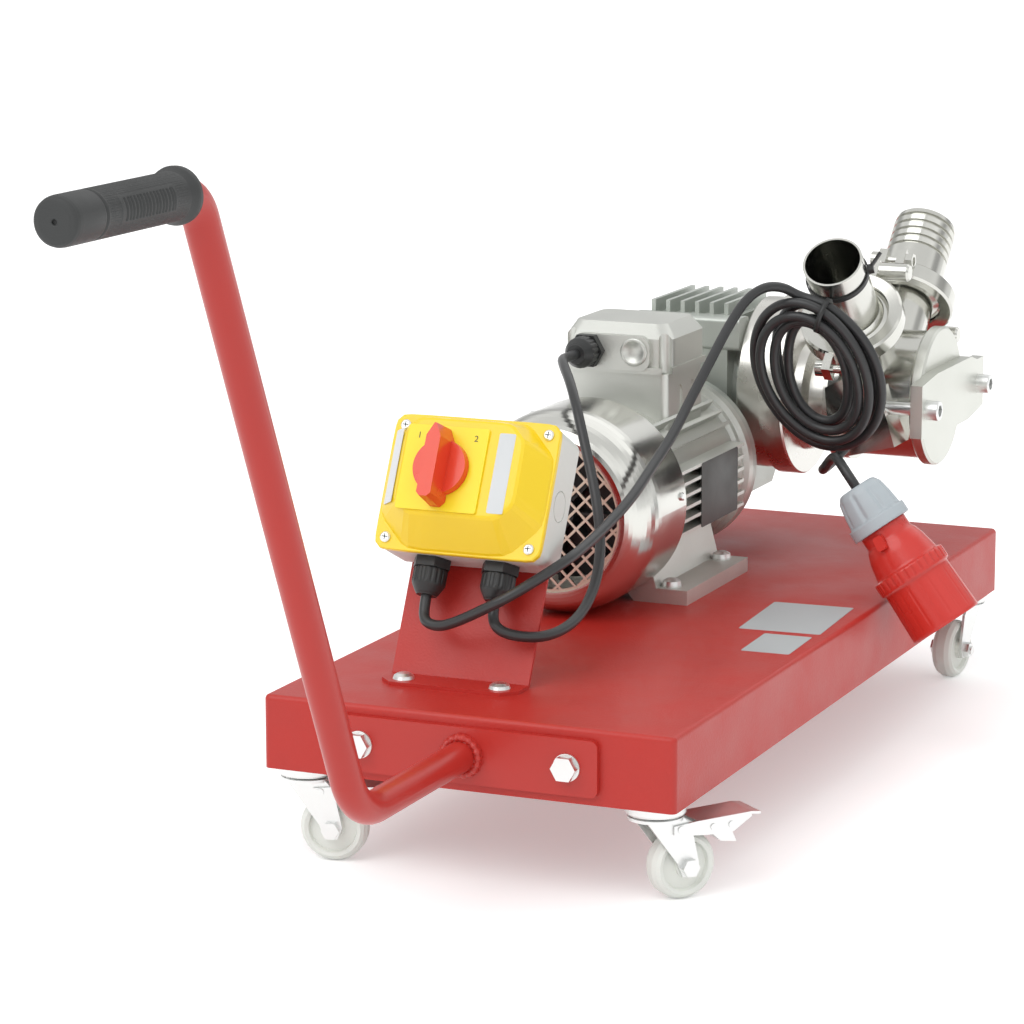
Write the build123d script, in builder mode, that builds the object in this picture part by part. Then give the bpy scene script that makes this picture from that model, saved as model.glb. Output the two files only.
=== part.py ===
"""Mobile rotary lobe pump: trolley, switch, geared motor, gear case and pump head.

Frame: X across the trolley, Y from the pull handle to the back, Z up from the floor.
Everything is drawn with Y = 0 on the front skirt; the last section moves the whole
pump so that the origin is the middle of its footprint, on the floor.
"""
from build123d import *
import os
from math import atan2, cos, hypot, pi, radians, sin, sqrt, tan

# ---------------------------------------------------------------- driving sizes (mm)
RUN = 0.05            # radial clearance of a running fit
GAP = 0.3             # clearance between parts that move past each other
SLIP = 0.05           # radial clearance of a bolt, register or bearing seat

BASE_W, BASE_L, BASE_H, SHEET = 350.0, 860.0, 60.0, 3.0
CASTOR_H = 78.0       # floor to the underside of the trolley
DECK = CASTOR_H + BASE_H

WHEEL_R, WHEEL_W, AXLE_R, TRAIL = 27.5, 20.0, 4.0, 22.0
CASTOR_X, CASTOR_INSET = 149.0, 26.0
FRONT_TRAIL_RIGHT, FRONT_TRAIL_LEFT, BACK_TRAIL_RIGHT, BACK_TRAIL_LEFT = 50.0, 12.0, -97.0, -75.0

TUBE_R, TUBE_WALL = 12.5, 2.0
PLATE_L, PLATE_H, PLATE_T, PLATE_Z = 226.0, 45.0, 5.0, DECK - 30.5
PLATE_BOLT_X = 88.0
HANDLE_BENDS = (55.0, 32.0)
HANDLE_LOW_Y, HANDLE_HIGH_Y, HANDLE_HIGH_Z, HANDLE_END_Y = -193.0, -424.0, DECK + 452.0, -600.0
GRIP_R, GRIP_L, GRIP_CAP = 16.5, 158.0, 3.0

BRACKET_W, BRACKET_X, BRACKET_Y, BRACKET_FOOT, BRACKET_T = 120.0, -48.0, 97.5, 31.0, 3.0
LEAN = 26.0           # the bracket's upright and the switch lean back by this angle
BRACKET_UP = 200.0
BOX_W, BOX_H, BOX_D, BOX_WALL = 143.0, 112.0, 43.0, 3.0
BOX_ALONG = 146.0     # from the bracket's bend to the middle of the box
COVER_RIM, COVER_RISE = 5.0, 23.0
PLATEAU_W, PLATEAU_H, PLATEAU_DX, PLATEAU_DY = 116.0, 88.0, -8.0, 4.0
KNOB_X, KNOB_Y, FACE_SIDE, FACE_T = -13.0, 7.0, 70.0, 2.0
KNOB_R, KNOB_BASE, KNOB_BAR_L, KNOB_BAR_H = 23.0, 7.0, 64.0, 20.0
GLAND_R, GLAND_X, GLAND_L = 14.0, 30.0, 30.0

MOTOR_X, MOTOR_H = -69.0, 90.0
MOTOR_Z = DECK + MOTOR_H
FRAME_Y0, FRAME_Y1 = 421.0, 601.0
BARREL_R, BARREL_WALL, FIN_R, FIN_T = 71.0, 5.0, 81.0, 3.0
FOOT_Y0, FOOT_Y1, FOOT_A, FOOT_B, FOOT_AB, FOOT_T = 427.5, 582.5, 140.0, 125.0, 180.0, 13.0
COWL_R, COWL_T, COWL_Y0, COWL_Y1, COWL_MOUTH, COWL_ROLL = 89.0, 1.5, 328.0, 427.0, 67.0, 40.0
FLANGE_R, FLANGE_T = 80.0, 10.0
SHAFT_R = 12.0
TBOX_Y0, TBOX_Y1, TBOX_HALF, TBOX_Z0, TBOX_H = 482.0, 576.0, 50.0, DECK + 193.0, 43.0

CENTRE_DISTANCE = 63.0                       # worm shaft to output shaft
OUT_Y, OUT_Z = 718.0, MOTOR_Z + CENTRE_DISTANCE
GEARBOX_X0, GEARBOX_X1 = -125.0, -13.0
GEARBOX_HALF_Y, GEARBOX_LOW, GEARBOX_HIGH = 70.0, DECK + 46.0, DECK + 219.0
GEARBOX_FIN = 13.0
WHEEL_TEETH, WORM_R = 30, 14.0

SHAFT_SPACING = 33.0                         # between the two pump shafts
LOW_Z = OUT_Z - SHAFT_SPACING
CASE_X0, CASE_X1, CASE_X2 = GEARBOX_X1, 11.0, 32.0
CASE_R0, CASE_R1 = 80.0, 84.0
PUMP_SHAFT_R, TIMING_TEETH = 8.0, 22
NECK_X1, NECK_R, NECK_DROP = 70.0, 42.0, 10.0
BEARING_R, BEARING_W = 13.0, 10.0
BODY_X0, BODY_X1 = 70.0, 148.0
BODY_R = SHAFT_SPACING + 26.0
BODY_DROP = SHAFT_SPACING / 2 - 13.5          # the body's middle lies below the upper shaft
BODY_Z = OUT_Z - BODY_DROP
LOBE_TIP = SHAFT_SPACING * 2 / 3            # a third of the pitch radius beyond the pitch circle
LOBE_W, LOBE_CLEAR = 48.0, 0.25
COVER_R = BODY_R + 5.0
COVER_T, BRIDGE_T, BRIDGE_SCREW_Y = 12.0, 11.0, 80.0
PORT_X, PORT_REACH, PORT_BORE, PORT_PIPE_R = 98.5, 195.0, 25.0, 27.0
FERRULE_AT, FERRULE_R, FERRULE_T, CLAMP_R = 115.0, 39.0, 4.5, 47.0
BARB_R, BARB_PITCH, BARBS = 30.0, 8.5, 5

CORD_R = 4.4
COIL_X, COIL_Y, COIL_Z, COIL_TILT, COIL_TURN = 88.0, 570.0, DECK + 190.0, 15.0, 18.0
COIL_A, COIL_B, COIL_SECTION, COIL_T = 57.0, 76.0, 26.0, 27.0

pieces = {}
cord_names = ["mains_lead", "lead_coil", "lead_tail", "motor_lead", "cable_tie", "plug_cap", "plug_body"]


def keep(name, *parts):
    """Store one node: a single part, or several separate solids as one group."""
    solids = [s for p in parts for s in p.solids()]
    node = solids[0] if len(solids) == 1 else Compound(children=solids)
    node.label = name
    pieces[name] = node


def turned(seat, outline):
    """Solid of revolution about the seat's Z; the outline holds (radius, height) points."""
    half = Plane(seat.origin, x_dir=seat.x_dir, z_dir=-seat.y_dir)
    with BuildPart() as body:
        with BuildSketch(half):
            with BuildLine():
                Polyline(*outline, close=True)
            make_face()
        revolve(axis=Axis(seat.origin, seat.z_dir))
    return body.part


def pipe(seat, outer, inner, length):
    """Straight tube or, with no inner radius, a rod along the seat's Z."""
    with BuildPart() as body:
        with BuildSketch(seat):
            Circle(outer)
            if inner:
                Circle(inner, mode=Mode.SUBTRACT)
        extrude(amount=length)
    return body.part


def block(low, high):
    """Rectangular block between two corners."""
    size = [b - a for a, b in zip(low, high)]
    with BuildPart() as body:
        with Locations(tuple(a + s / 2 for a, s in zip(low, size))):
            Box(*size)
    return body.part


def hexagon(seat, across_flats, height, bore=0.0):
    """Hexagonal nut or head on the seat."""
    with BuildPart() as body:
        with BuildSketch(seat):
            RegularPolygon(across_flats / 2, 6, major_radius=False)
            if bore:
                Circle(bore, mode=Mode.SUBTRACT)
        extrude(amount=height)
    return body.part


def hex_bolt(seat, r, length, across_flats, head_h):
    """Hex-head bolt in one solid: head on the seat, shank below it."""
    with BuildPart() as body:
        with BuildSketch(seat):
            RegularPolygon(across_flats / 2, 6, major_radius=False)
        extrude(amount=head_h)
        with BuildSketch(seat):
            Circle(r)
        extrude(amount=-length)
    return body.part


def along_x(x, y, z):
    """Seat at a point, with its Z along +X and its x direction along +Y."""
    return Plane((x, y, z), x_dir=(0, 1, 0), z_dir=(1, 0, 0))


def along_y(x, y, z):
    """Seat at a point, with its Z along +Y and its x direction along +X."""
    return Plane((x, y, z), x_dir=(1, 0, 0), z_dir=(0, 1, 0))


def bearing(seat, shaft_r, outer_r, width):
    """Deep-groove ball bearing as its closed ring, with grooved shields on both faces."""
    outer_r, lip = outer_r - SLIP, outer_r - 2.0
    return turned(seat, [(shaft_r + RUN, 0), (shaft_r + 2, 0), (shaft_r + 2, 0.6), (lip, 0.6), (lip, 0),
                         (outer_r, 0), (outer_r, width), (lip, width), (lip, width - 0.6),
                         (shaft_r + 2, width - 0.6), (shaft_r + 2, width), (shaft_r + RUN, width)])


# ---------------------------------------------------------------- trolley deck
with BuildPart() as base:
    with BuildSketch(Plane.XY.offset(CASTOR_H)):
        with Locations((0, BASE_L / 2)):
            RectangleRounded(BASE_W, BASE_L, 5)
    extrude(amount=BASE_H)
    fillet(base.edges().group_by(Axis.Z)[-1], 4)
    with BuildSketch(Plane.XY.offset(CASTOR_H)):
        with Locations((0, BASE_L / 2)):
            RectangleRounded(BASE_W - 2 * SHEET, BASE_L - 2 * SHEET, 2)
    extrude(amount=BASE_H - SHEET, mode=Mode.SUBTRACT)
    foot_mid = (FOOT_Y0 + FOOT_Y1) / 2
    with Locations([(MOTOR_X + a * FOOT_A / 2, foot_mid + b * FOOT_B / 2, DECK) for a in (-1,
                                                                                          1) for b in (-1,
                                                                                                       1)]):
        Hole(5.0 + SLIP, SHEET + 1)
    with Locations([(BRACKET_X + s * 42, BRACKET_Y - 16, DECK) for s in (-1, 1)]):
        Hole(4.0 + SLIP, SHEET + 1)
    with BuildSketch(Plane.XZ):
        with Locations([(s * PLATE_BOLT_X, PLATE_Z) for s in (-1, 1)]):
            Circle(6.0 + SLIP)
    extrude(amount=-SHEET - 1, mode=Mode.SUBTRACT)
keep("base_tray", base.part)

# ---------------------------------------------------------------- castors
WHEEL_TOP = 2 * WHEEL_R
FORK_IN, FORK_T = WHEEL_W / 2 + 1.5, 2.5
FORK_OUT = FORK_IN + FORK_T
FORK_TOP, FORK_DISC_R = CASTOR_H - 9.0, 22.0
PEDAL_PIN = (14.0, WHEEL_TOP + 4.0)
PIN_R = 3.0
PEDAL_T, PEDAL_L = 2.0, 76.0


def castor_head():
    """Fixed race, kingpin and stem, the corner plate that carries them and its nut."""
    reach, inner_side = CASTOR_INSET - SHEET, 34.0
    with BuildPart() as corner:
        with BuildSketch(Plane.XY.offset(CASTOR_H)):
            with BuildLine():
                Polyline((-inner_side, -reach), (reach - 4, -reach), (reach, -reach + 4),
                         (reach, inner_side),
                         (-inner_side + 8, inner_side), (-inner_side, inner_side - 8), close=True)
            make_face()
        extrude(amount=3)
        with Locations((0, 0, CASTOR_H + 3)):
            Hole(5.0 + SLIP, 4)
    pin = turned(Plane.XY, [(0, FORK_TOP - 6.5), (7, FORK_TOP - 6.5), (9, FORK_TOP - 5),
                            (9, FORK_TOP - 2.5 - GAP),
                            (5, FORK_TOP - 2.5 - GAP), (5, FORK_TOP + GAP), (17, FORK_TOP + GAP), (18,
                                                                                                   FORK_TOP + 2),
                            (23, FORK_TOP + 2), (24, FORK_TOP + 3.5), (24, CASTOR_H), (5, CASTOR_H),
                            (5, CASTOR_H + 14), (0, CASTOR_H + 14)])
    nut = hexagon(Plane.XY.offset(CASTOR_H + 3), 16, 8, 5.0 + SLIP)
    return [corner.part, pin, nut]


def castor_fork(braked):
    """Pressed fork with its axle bolt, nut and, on a braked castor, the pedal's pin."""
    with BuildPart() as fork:
        with BuildSketch(Plane.XY.offset(FORK_TOP)):
            Circle(FORK_DISC_R)
            Circle(5 + RUN, mode=Mode.SUBTRACT)
        extrude(amount=-2.5)
        for y in (FORK_IN, -FORK_OUT):
            with BuildSketch(Plane((0, y, 0), x_dir=(1, 0, 0), z_dir=(0, -1, 0))):
                with BuildLine():
                    Polyline((-16, FORK_TOP), (16, FORK_TOP), (24, FORK_TOP - 8), (TRAIL + 9, WHEEL_R + 2),
                             (TRAIL + 5, WHEEL_R - 7.5), (TRAIL - 5, WHEEL_R - 7.5), (TRAIL - 10,
                                                                                      WHEEL_R + 4),
                             close=True)
                make_face()
                with Locations((TRAIL, WHEEL_R)):
                    Circle(AXLE_R + SLIP, mode=Mode.SUBTRACT)
                if braked:
                    with Locations(PEDAL_PIN):
                        Circle(PIN_R + SLIP, mode=Mode.SUBTRACT)
            extrude(amount=-FORK_T)
    head_seat = Plane((TRAIL, -FORK_OUT, WHEEL_R), x_dir=(1, 0, 0), z_dir=(0, -1, 0))
    axle = hex_bolt(head_seat, AXLE_R, 2 * FORK_OUT + 8, 13, 5)
    nut = hexagon(along_y(TRAIL, FORK_OUT, WHEEL_R), 13, 6, AXLE_R + SLIP)
    parts = [fork.part, axle, nut]
    if braked:
        pin_len = 2 * (FORK_OUT + GAP + PEDAL_T + 1)
        parts.append(pipe(along_y(PEDAL_PIN[0], -pin_len / 2, PEDAL_PIN[1]), PIN_R, 0, pin_len))
    return parts


def castor_wheel():
    """Nylon wheel with a crowned tread, a recessed web and a plain hub."""
    half, hub = WHEEL_W / 2, FORK_IN - GAP
    seat = along_y(TRAIL, 0, WHEEL_R)
    side = [(AXLE_R + RUN, hub), (9, hub), (9, half - 3), (19, half - 4.5), (20, half - 1), (23, half),
            (25.5, half - 2), (WHEEL_R, half - 6)]
    return turned(seat, side + [(r, -h) for r, h in reversed(side)])


def brake_pedal():
    """Lever of two side plates and a tread, with rivets and the cam that meets the wheel."""
    inner = FORK_OUT + GAP
    tread_z, rivets = PEDAL_PIN[1] + 5.0, ((42.0, PEDAL_PIN[1] - 1), (58.0, PEDAL_PIN[1] - 1))
    with BuildPart() as lever:
        for y in (inner, -inner - PEDAL_T):
            with BuildSketch(Plane((0, y, 0), x_dir=(1, 0, 0), z_dir=(0, -1, 0))):
                with BuildLine():
                    Polyline((8, PEDAL_PIN[1] - 4), (8, PEDAL_PIN[1] + 3), (28, tread_z),
                             (PEDAL_L, tread_z + 2),
                             (PEDAL_L, tread_z - 2), (60, PEDAL_PIN[1] - 7), (36,
                                                                              PEDAL_PIN[1] - 7), close=True)
                make_face()
                with Locations(PEDAL_PIN):
                    Circle(PIN_R + RUN, mode=Mode.SUBTRACT)
                with Locations(rivets):
                    Circle(2.5 + SLIP, mode=Mode.SUBTRACT)
            extrude(amount=-PEDAL_T)
        with BuildSketch(Plane((0, inner + PEDAL_T, 0), x_dir=(1, 0, 0), z_dir=(0, -1, 0))):
            with BuildLine():
                Polyline((28, tread_z), (PEDAL_L, tread_z + 2), (PEDAL_L + 8, tread_z + 1),
                         (PEDAL_L + 8, tread_z - 1),
                         (PEDAL_L, tread_z), (28, tread_z - 2), close=True)
            make_face()
        extrude(amount=2 * (inner + PEDAL_T))
    with BuildPart() as cam:
        with BuildSketch(Plane((0, inner - GAP, 0), x_dir=(1, 0, 0), z_dir=(0, -1, 0))):
            with BuildLine():
                Polyline((38, rivets[0][1] - 2), (50, rivets[0][1] - 13), (64, rivets[0][1] - 15),
                         (60, rivets[0][1] - 6),
                         (65, rivets[0][1] + 2), (40, rivets[0][1] + 3), close=True)
            make_face()
            with Locations(rivets):
                Circle(2.5 + SLIP, mode=Mode.SUBTRACT)
        extrude(amount=2 * (inner - GAP))
    pins = [pipe(along_y(x, -inner - PEDAL_T - 1, z), 2.5, 0, 2 * (inner + PEDAL_T + 1)) for x, z in rivets]
    return [lever.part, cam.part] + pins


castors = {"front_right": (CASTOR_X, CASTOR_INSET, FRONT_TRAIL_RIGHT, True),
           "front_left": (-CASTOR_X, CASTOR_INSET, FRONT_TRAIL_LEFT, True),
           "back_right": (CASTOR_X, BASE_L - CASTOR_INSET, BACK_TRAIL_RIGHT, False),
           "back_left": (-CASTOR_X, BASE_L - CASTOR_INSET, BACK_TRAIL_LEFT, False)}
heads = []
for corner_name, (x, y, trail, braked) in castors.items():
    place = Location((x, y, 0), (0, 0, trail))
    square = (0 if x > 0 else 270) if y < foot_mid else (90 if x > 0 else 180)
    heads += [p.moved(Location((x, y, 0), (0, 0, square))) for p in castor_head()]
    keep("fork_" + corner_name, *[p.moved(place) for p in castor_fork(braked)])
    keep("wheel_" + corner_name, castor_wheel().moved(place))
    if braked:
        keep("brake_pedal_" + corner_name, *[p.moved(place) for p in brake_pedal()])
keep("castor_heads", *heads)

# ---------------------------------------------------------------- pull handle
handle_route = [(0, -PLATE_T, PLATE_Z), (0, HANDLE_LOW_Y, PLATE_Z), (0, HANDLE_HIGH_Y, HANDLE_HIGH_Z),
                (0, HANDLE_END_Y, HANDLE_HIGH_Z)]
with BuildPart() as handle_plate:
    with BuildSketch(Plane.XZ):
        with Locations((0, PLATE_Z)):
            RectangleRounded(PLATE_L, PLATE_H, 6)
        with Locations([(s * PLATE_BOLT_X, PLATE_Z) for s in (-1, 1)]):
            Circle(6.0 + SLIP, mode=Mode.SUBTRACT)
    extrude(amount=PLATE_T)
with BuildPart() as handle_tube:
    with BuildLine():
        FilletPolyline(*handle_route, radius=HANDLE_BENDS)
    with BuildSketch(Plane(handle_route[0], x_dir=(1, 0, 0), z_dir=(0, -1, 0))):
        Circle(TUBE_R)
        Circle(TUBE_R - TUBE_WALL, mode=Mode.SUBTRACT)
    sweep()
weld = turned(Plane(handle_route[0], x_dir=(1, 0, 0), z_dir=(0, -1, 0)),
              [(TUBE_R, 0), (TUBE_R + 5, 0), (TUBE_R + 3.5, 3.5), (TUBE_R, 5)])
keep("handle_frame", handle_plate.part, handle_tube.part, weld)

grip_seat = Plane((0, HANDLE_END_Y - GRIP_CAP, HANDLE_HIGH_Z), x_dir=(1, 0, 0), z_dir=(0, 1, 0))
grip_outline = [(2, 0), (GRIP_R - 3, 0), (GRIP_R - 0.5, 2), (GRIP_R, 6), (GRIP_R, 40)]
for k in range(8):
    h = 42 + 6 * k
    grip_outline += [(GRIP_R - 0.8, h), (GRIP_R - 0.8, h + 2), (GRIP_R, h + 3)]
grip_outline += [(GRIP_R - 0.5, GRIP_L - 12), (GRIP_R + 3, GRIP_L - 8), (GRIP_R + 3, GRIP_L - 2),
                 (GRIP_R + 1, GRIP_L),
                 (TUBE_R, GRIP_L), (TUBE_R, GRIP_CAP), (2, GRIP_CAP)]
keep("handle_grip", turned(grip_seat, grip_outline))

# ---------------------------------------------------------------- bolts of the trolley
bolts = []
for s in (-1, 1):
    seat = Plane((s * PLATE_BOLT_X, -PLATE_T, PLATE_Z), x_dir=(1, 0, 0), z_dir=(0, -1, 0))
    grip_depth = PLATE_T + SHEET
    bolts.append(pipe(seat, 11, 6 + SLIP, 1.5))
    bolts.append(hex_bolt(seat.offset(1.5), 6, grip_depth + 14, 18, 7.5))
    bolts.append(hexagon(seat.offset(-grip_depth - 10), 18, 10, 6 + SLIP))
    dome_seat = Plane((BRACKET_X + s * 42, BRACKET_Y - 16, DECK + BRACKET_T))
    grip_depth = BRACKET_T + SHEET
    bolts.append(turned(dome_seat, [(0, -grip_depth - 9), (4, -grip_depth - 9), (4, 0), (9, 0), (8, 2.6),
                                    (5, 4.4),
                                    (0, 5)]))
    bolts.append(hexagon(dome_seat.offset(-grip_depth - 7), 13, 7, 4 + SLIP))
for a in (-1, 1):
    for b in (-1, 1):
        seat = Plane((MOTOR_X + a * FOOT_A / 2, foot_mid + b * FOOT_B / 2, DECK + FOOT_T))
        grip_depth = FOOT_T + SHEET
        bolts.append(pipe(seat, 8.8, 5 + SLIP, 1.5))
        bolts.append(turned(seat, [(0, -grip_depth - 11), (5, -grip_depth - 11), (5, 1.5), (8.5, 1.5),
                                   (8, 5),
                                   (4.5, 7), (0, 7.2)]))
        bolts.append(hexagon(seat.offset(-grip_depth - 8), 16, 8, 5 + SLIP))
keep("trolley_bolts", *bolts)

# ---------------------------------------------------------------- switch bracket
lean_up = (0, sin(radians(LEAN)), cos(radians(LEAN)))
lean_out = (0, -cos(radians(LEAN)), sin(radians(LEAN)))
bend_front = (BRACKET_Y, DECK + BRACKET_T)


def up_the_bracket(along, out):
    """Point (Y, Z) at a distance up the bracket's front face and out from it."""
    return (BRACKET_Y + along * lean_up[1] + out * lean_out[1],
            DECK + BRACKET_T + along * lean_up[2] + out * lean_out[2])


with BuildPart() as bracket:
    with BuildSketch(Plane((BRACKET_X - BRACKET_W / 2, 0, 0), x_dir=(0, 1, 0), z_dir=(1, 0, 0))):
        with BuildLine():
            top = up_the_bracket(BRACKET_UP, 0)
            top_back = up_the_bracket(BRACKET_UP, -BRACKET_T)
            low_back = (top_back[0] - (top_back[1] - DECK) * tan(radians(LEAN)), DECK)
            Polyline((BRACKET_Y - BRACKET_FOOT, DECK), (BRACKET_Y - BRACKET_FOOT, DECK + BRACKET_T),
                     bend_front, top,
                     top_back, low_back, close=True)
        make_face()
    extrude(amount=BRACKET_W)
    chamfer(bracket.edges().filter_by(Axis.Z).group_by(Axis.Y)[0], 12)
    with Locations([(BRACKET_X + s * 42, BRACKET_Y - 16, DECK + BRACKET_T) for s in (-1, 1)]):
        Hole(4.0 + SLIP, BRACKET_T)
keep("switch_bracket", bracket.part)

# ---------------------------------------------------------------- switch box
BOX_X = BRACKET_X - 1.0
box_mid = up_the_bracket(BOX_ALONG, BOX_D + 3.0)
rim = Plane((BOX_X, box_mid[0], box_mid[1]), x_dir=(1, 0, 0), z_dir=lean_out)      # where cover meets box
screw_dx, screw_dy = BOX_W / 2 - 9, BOX_H / 2 - 9
switch_spindle_r = 4.0


def spot(x, y, out=0.0):
    """Seat on the switch box's rim plane, at a place across, up and out."""
    return Plane(rim.from_local_coords((x, y, out)), x_dir=(1, 0, 0), z_dir=lean_out)


with BuildPart() as box:
    with BuildSketch(rim):
        RectangleRounded(BOX_W, BOX_H, 9)
    extrude(amount=-BOX_D, taper=1.5)
    with BuildSketch(rim):
        RectangleRounded(BOX_W - 2 * BOX_WALL, BOX_H - 2 * BOX_WALL, 6)
    extrude(amount=-BOX_D + BOX_WALL, taper=1.5, mode=Mode.SUBTRACT)
    with BuildSketch(rim):
        with GridLocations(2 * screw_dx, 2 * screw_dy, 2, 2):
            Circle(7)
    extrude(amount=-BOX_D + 1)
    with BuildSketch(rim.offset(-BOX_D)):
        with GridLocations(90, 70, 2, 2):
            Circle(9)
    extrude(amount=-3.0)
    with BuildSketch(rim):
        with GridLocations(2 * screw_dx, 2 * screw_dy, 2, 2):
            Circle(2 + SLIP)
    extrude(amount=-14, mode=Mode.SUBTRACT)
    with BuildSketch(Plane(rim.from_local_coords((0, -BOX_H / 2 - 1, -BOX_D / 2)), x_dir=(1, 0, 0),
                           z_dir=lean_up)):
        with Locations((-GLAND_X, 0), (GLAND_X, 0)):
            Circle(8 + SLIP)
    extrude(amount=14, mode=Mode.SUBTRACT)
    side = Plane(rim.from_local_coords((BOX_W / 2 - 1.6, -4, -BOX_D / 2)), x_dir=lean_up, z_dir=(1, 0, 0))
    with BuildSketch(side):
        Circle(13)
        Circle(12, mode=Mode.SUBTRACT)
    extrude(amount=3, mode=Mode.SUBTRACT)
keep("switch_box", box.part)


def cover_shape(inset):
    """Bevelled cover block: full rim, cut corners and a raised, flat middle."""
    rim_w, rim_h = BOX_W + 2 - 2 * inset, BOX_H + 2 - 2 * inset
    with BuildPart() as shape:
        if not inset:
            with BuildSketch(rim):
                RectangleRounded(rim_w, rim_h, 10)
            extrude(amount=COVER_RIM)
        low = COVER_RIM if not inset else 0.0
        high = COVER_RIM + COVER_RISE - inset
        cut = 26.0
        w, h = rim_w / 2 - 1, rim_h / 2 - 1
        with BuildSketch(rim.offset(low)):
            with BuildLine():
                Polyline((-w, -h + cut), (-w + cut, -h), (w - cut, -h), (w, -h + cut), (w, h - cut),
                         (w - cut, h),
                         (-w + cut, h), (-w, h - cut), close=True)
            make_face()
        pw, ph, pc = PLATEAU_W / 2 - inset, PLATEAU_H / 2 - inset, 9.0
        with BuildSketch(rim.offset(high)):
            with BuildLine():
                Polyline(*[(x + PLATEAU_DX, y + PLATEAU_DY) for x, y in
                           ((-pw, -ph + pc), (-pw + pc, -ph), (pw - pc, -ph), (pw, -ph + pc), (pw, ph - pc),
                            (pw - pc, ph), (-pw + pc, ph), (-pw, ph - pc))], close=True)
            make_face()
        loft(ruled=True)
    return shape.part


cover_outside, cover_inside = cover_shape(0.0), cover_shape(BOX_WALL)
with BuildPart() as cover:
    add(cover_outside)
    add(cover_inside, mode=Mode.SUBTRACT)
    with BuildSketch(rim.offset(COVER_RIM + COVER_RISE)):
        with Locations((KNOB_X, KNOB_Y)):
            Circle(13)
    extrude(amount=-BOX_WALL - 2, mode=Mode.SUBTRACT)
    with BuildSketch(rim):
        with GridLocations(2 * screw_dx, 2 * screw_dy, 2, 2):
            Circle(2.4)
    extrude(amount=COVER_RIM, mode=Mode.SUBTRACT)
keep("switch_cover", cover.part)

face_out = COVER_RIM + COVER_RISE
with BuildPart() as faceplate:
    with BuildSketch(spot(KNOB_X, KNOB_Y, face_out)):
        RectangleRounded(FACE_SIDE, FACE_SIDE, 2)
        Circle(6, mode=Mode.SUBTRACT)
    extrude(amount=FACE_T)
keep("switch_faceplate", faceplate.part)

with BuildPart() as cam_switch:
    with BuildSketch(spot(KNOB_X, KNOB_Y, -20)):
        RectangleRounded(46, 46, 6)
        Circle(switch_spindle_r + RUN, mode=Mode.SUBTRACT)
    extrude(amount=20 + face_out - BOX_WALL - GAP)
    with BuildSketch(spot(KNOB_X, KNOB_Y, face_out - BOX_WALL - GAP)):
        Circle(12.5)
        Circle(switch_spindle_r + RUN, mode=Mode.SUBTRACT)
    extrude(amount=BOX_WALL + GAP)
keep("cam_switch", cam_switch.part)

with BuildPart() as knob:
    with BuildSketch(spot(KNOB_X, KNOB_Y, face_out + FACE_T + GAP)):
        Circle(KNOB_R)
    extrude(amount=KNOB_BASE, taper=5)
    with BuildSketch(spot(KNOB_X, KNOB_Y, face_out + FACE_T + GAP)):
        with BuildLine():
            half_bar = KNOB_BAR_L / 2
            Polyline((-8, -half_bar + 4), (-4, -half_bar), (4, -half_bar), (8, -half_bar + 4),
                     (8, half_bar - 12),
                     (2, half_bar), (-2, half_bar), (-8, half_bar - 12), close=True)
        make_face()
    extrude(amount=KNOB_BASE + KNOB_BAR_H, taper=4)
    with BuildSketch(spot(KNOB_X, KNOB_Y, face_out + FACE_T + GAP)):
        Circle(switch_spindle_r)
    extrude(amount=-FACE_T - GAP - 24)
keep("switch_knob", knob.part)


def gland(seat):
    """Cable gland: threaded foot, hexagon and ribbed dome nut."""
    with BuildPart() as body:
        with BuildSketch(seat):
            Circle(8)
        extrude(amount=-7)
        with BuildSketch(seat):
            RegularPolygon(GLAND_R, 6, major_radius=False)
        extrude(amount=8)
        with BuildSketch(seat.offset(8)):
            Circle(GLAND_R - 1)
        extrude(amount=GLAND_L - 16)
        with BuildSketch(seat.offset(GLAND_L - 8)):
            Circle(GLAND_R - 1)
        extrude(amount=8, taper=30)
    return body.part


gland_seats = [Plane(rim.from_local_coords((s * GLAND_X, -BOX_H / 2, -BOX_D / 2)), x_dir=(1, 0, 0),
                     z_dir=tuple(-c for c in lean_up)) for s in (-1, 1)]
tbox_gland_seat = Plane((MOTOR_X - 25, TBOX_Y0 - 3, TBOX_Z0 + 19), x_dir=(1, 0, 0), z_dir=(0, -1, 0))
keep("cable_glands", *[gland(s) for s in gland_seats + [tbox_gland_seat]])


def pan_screw(seat, r, head_r, head_h, depth):
    """Pan-head screw whose head stands on the seat."""
    return turned(seat, [(0, -depth), (r, -depth), (r, 0), (head_r, 0), (head_r, head_h * 0.6),
                         (head_r * 0.7, head_h),
                         (0, head_h)])


small_screws = [pan_screw(spot(a * screw_dx, b * screw_dy, COVER_RIM), 2.0, 4.4, 2.6, COVER_RIM + 12)
                for a in (-1, 1) for b in (-1, 1)]

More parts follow.
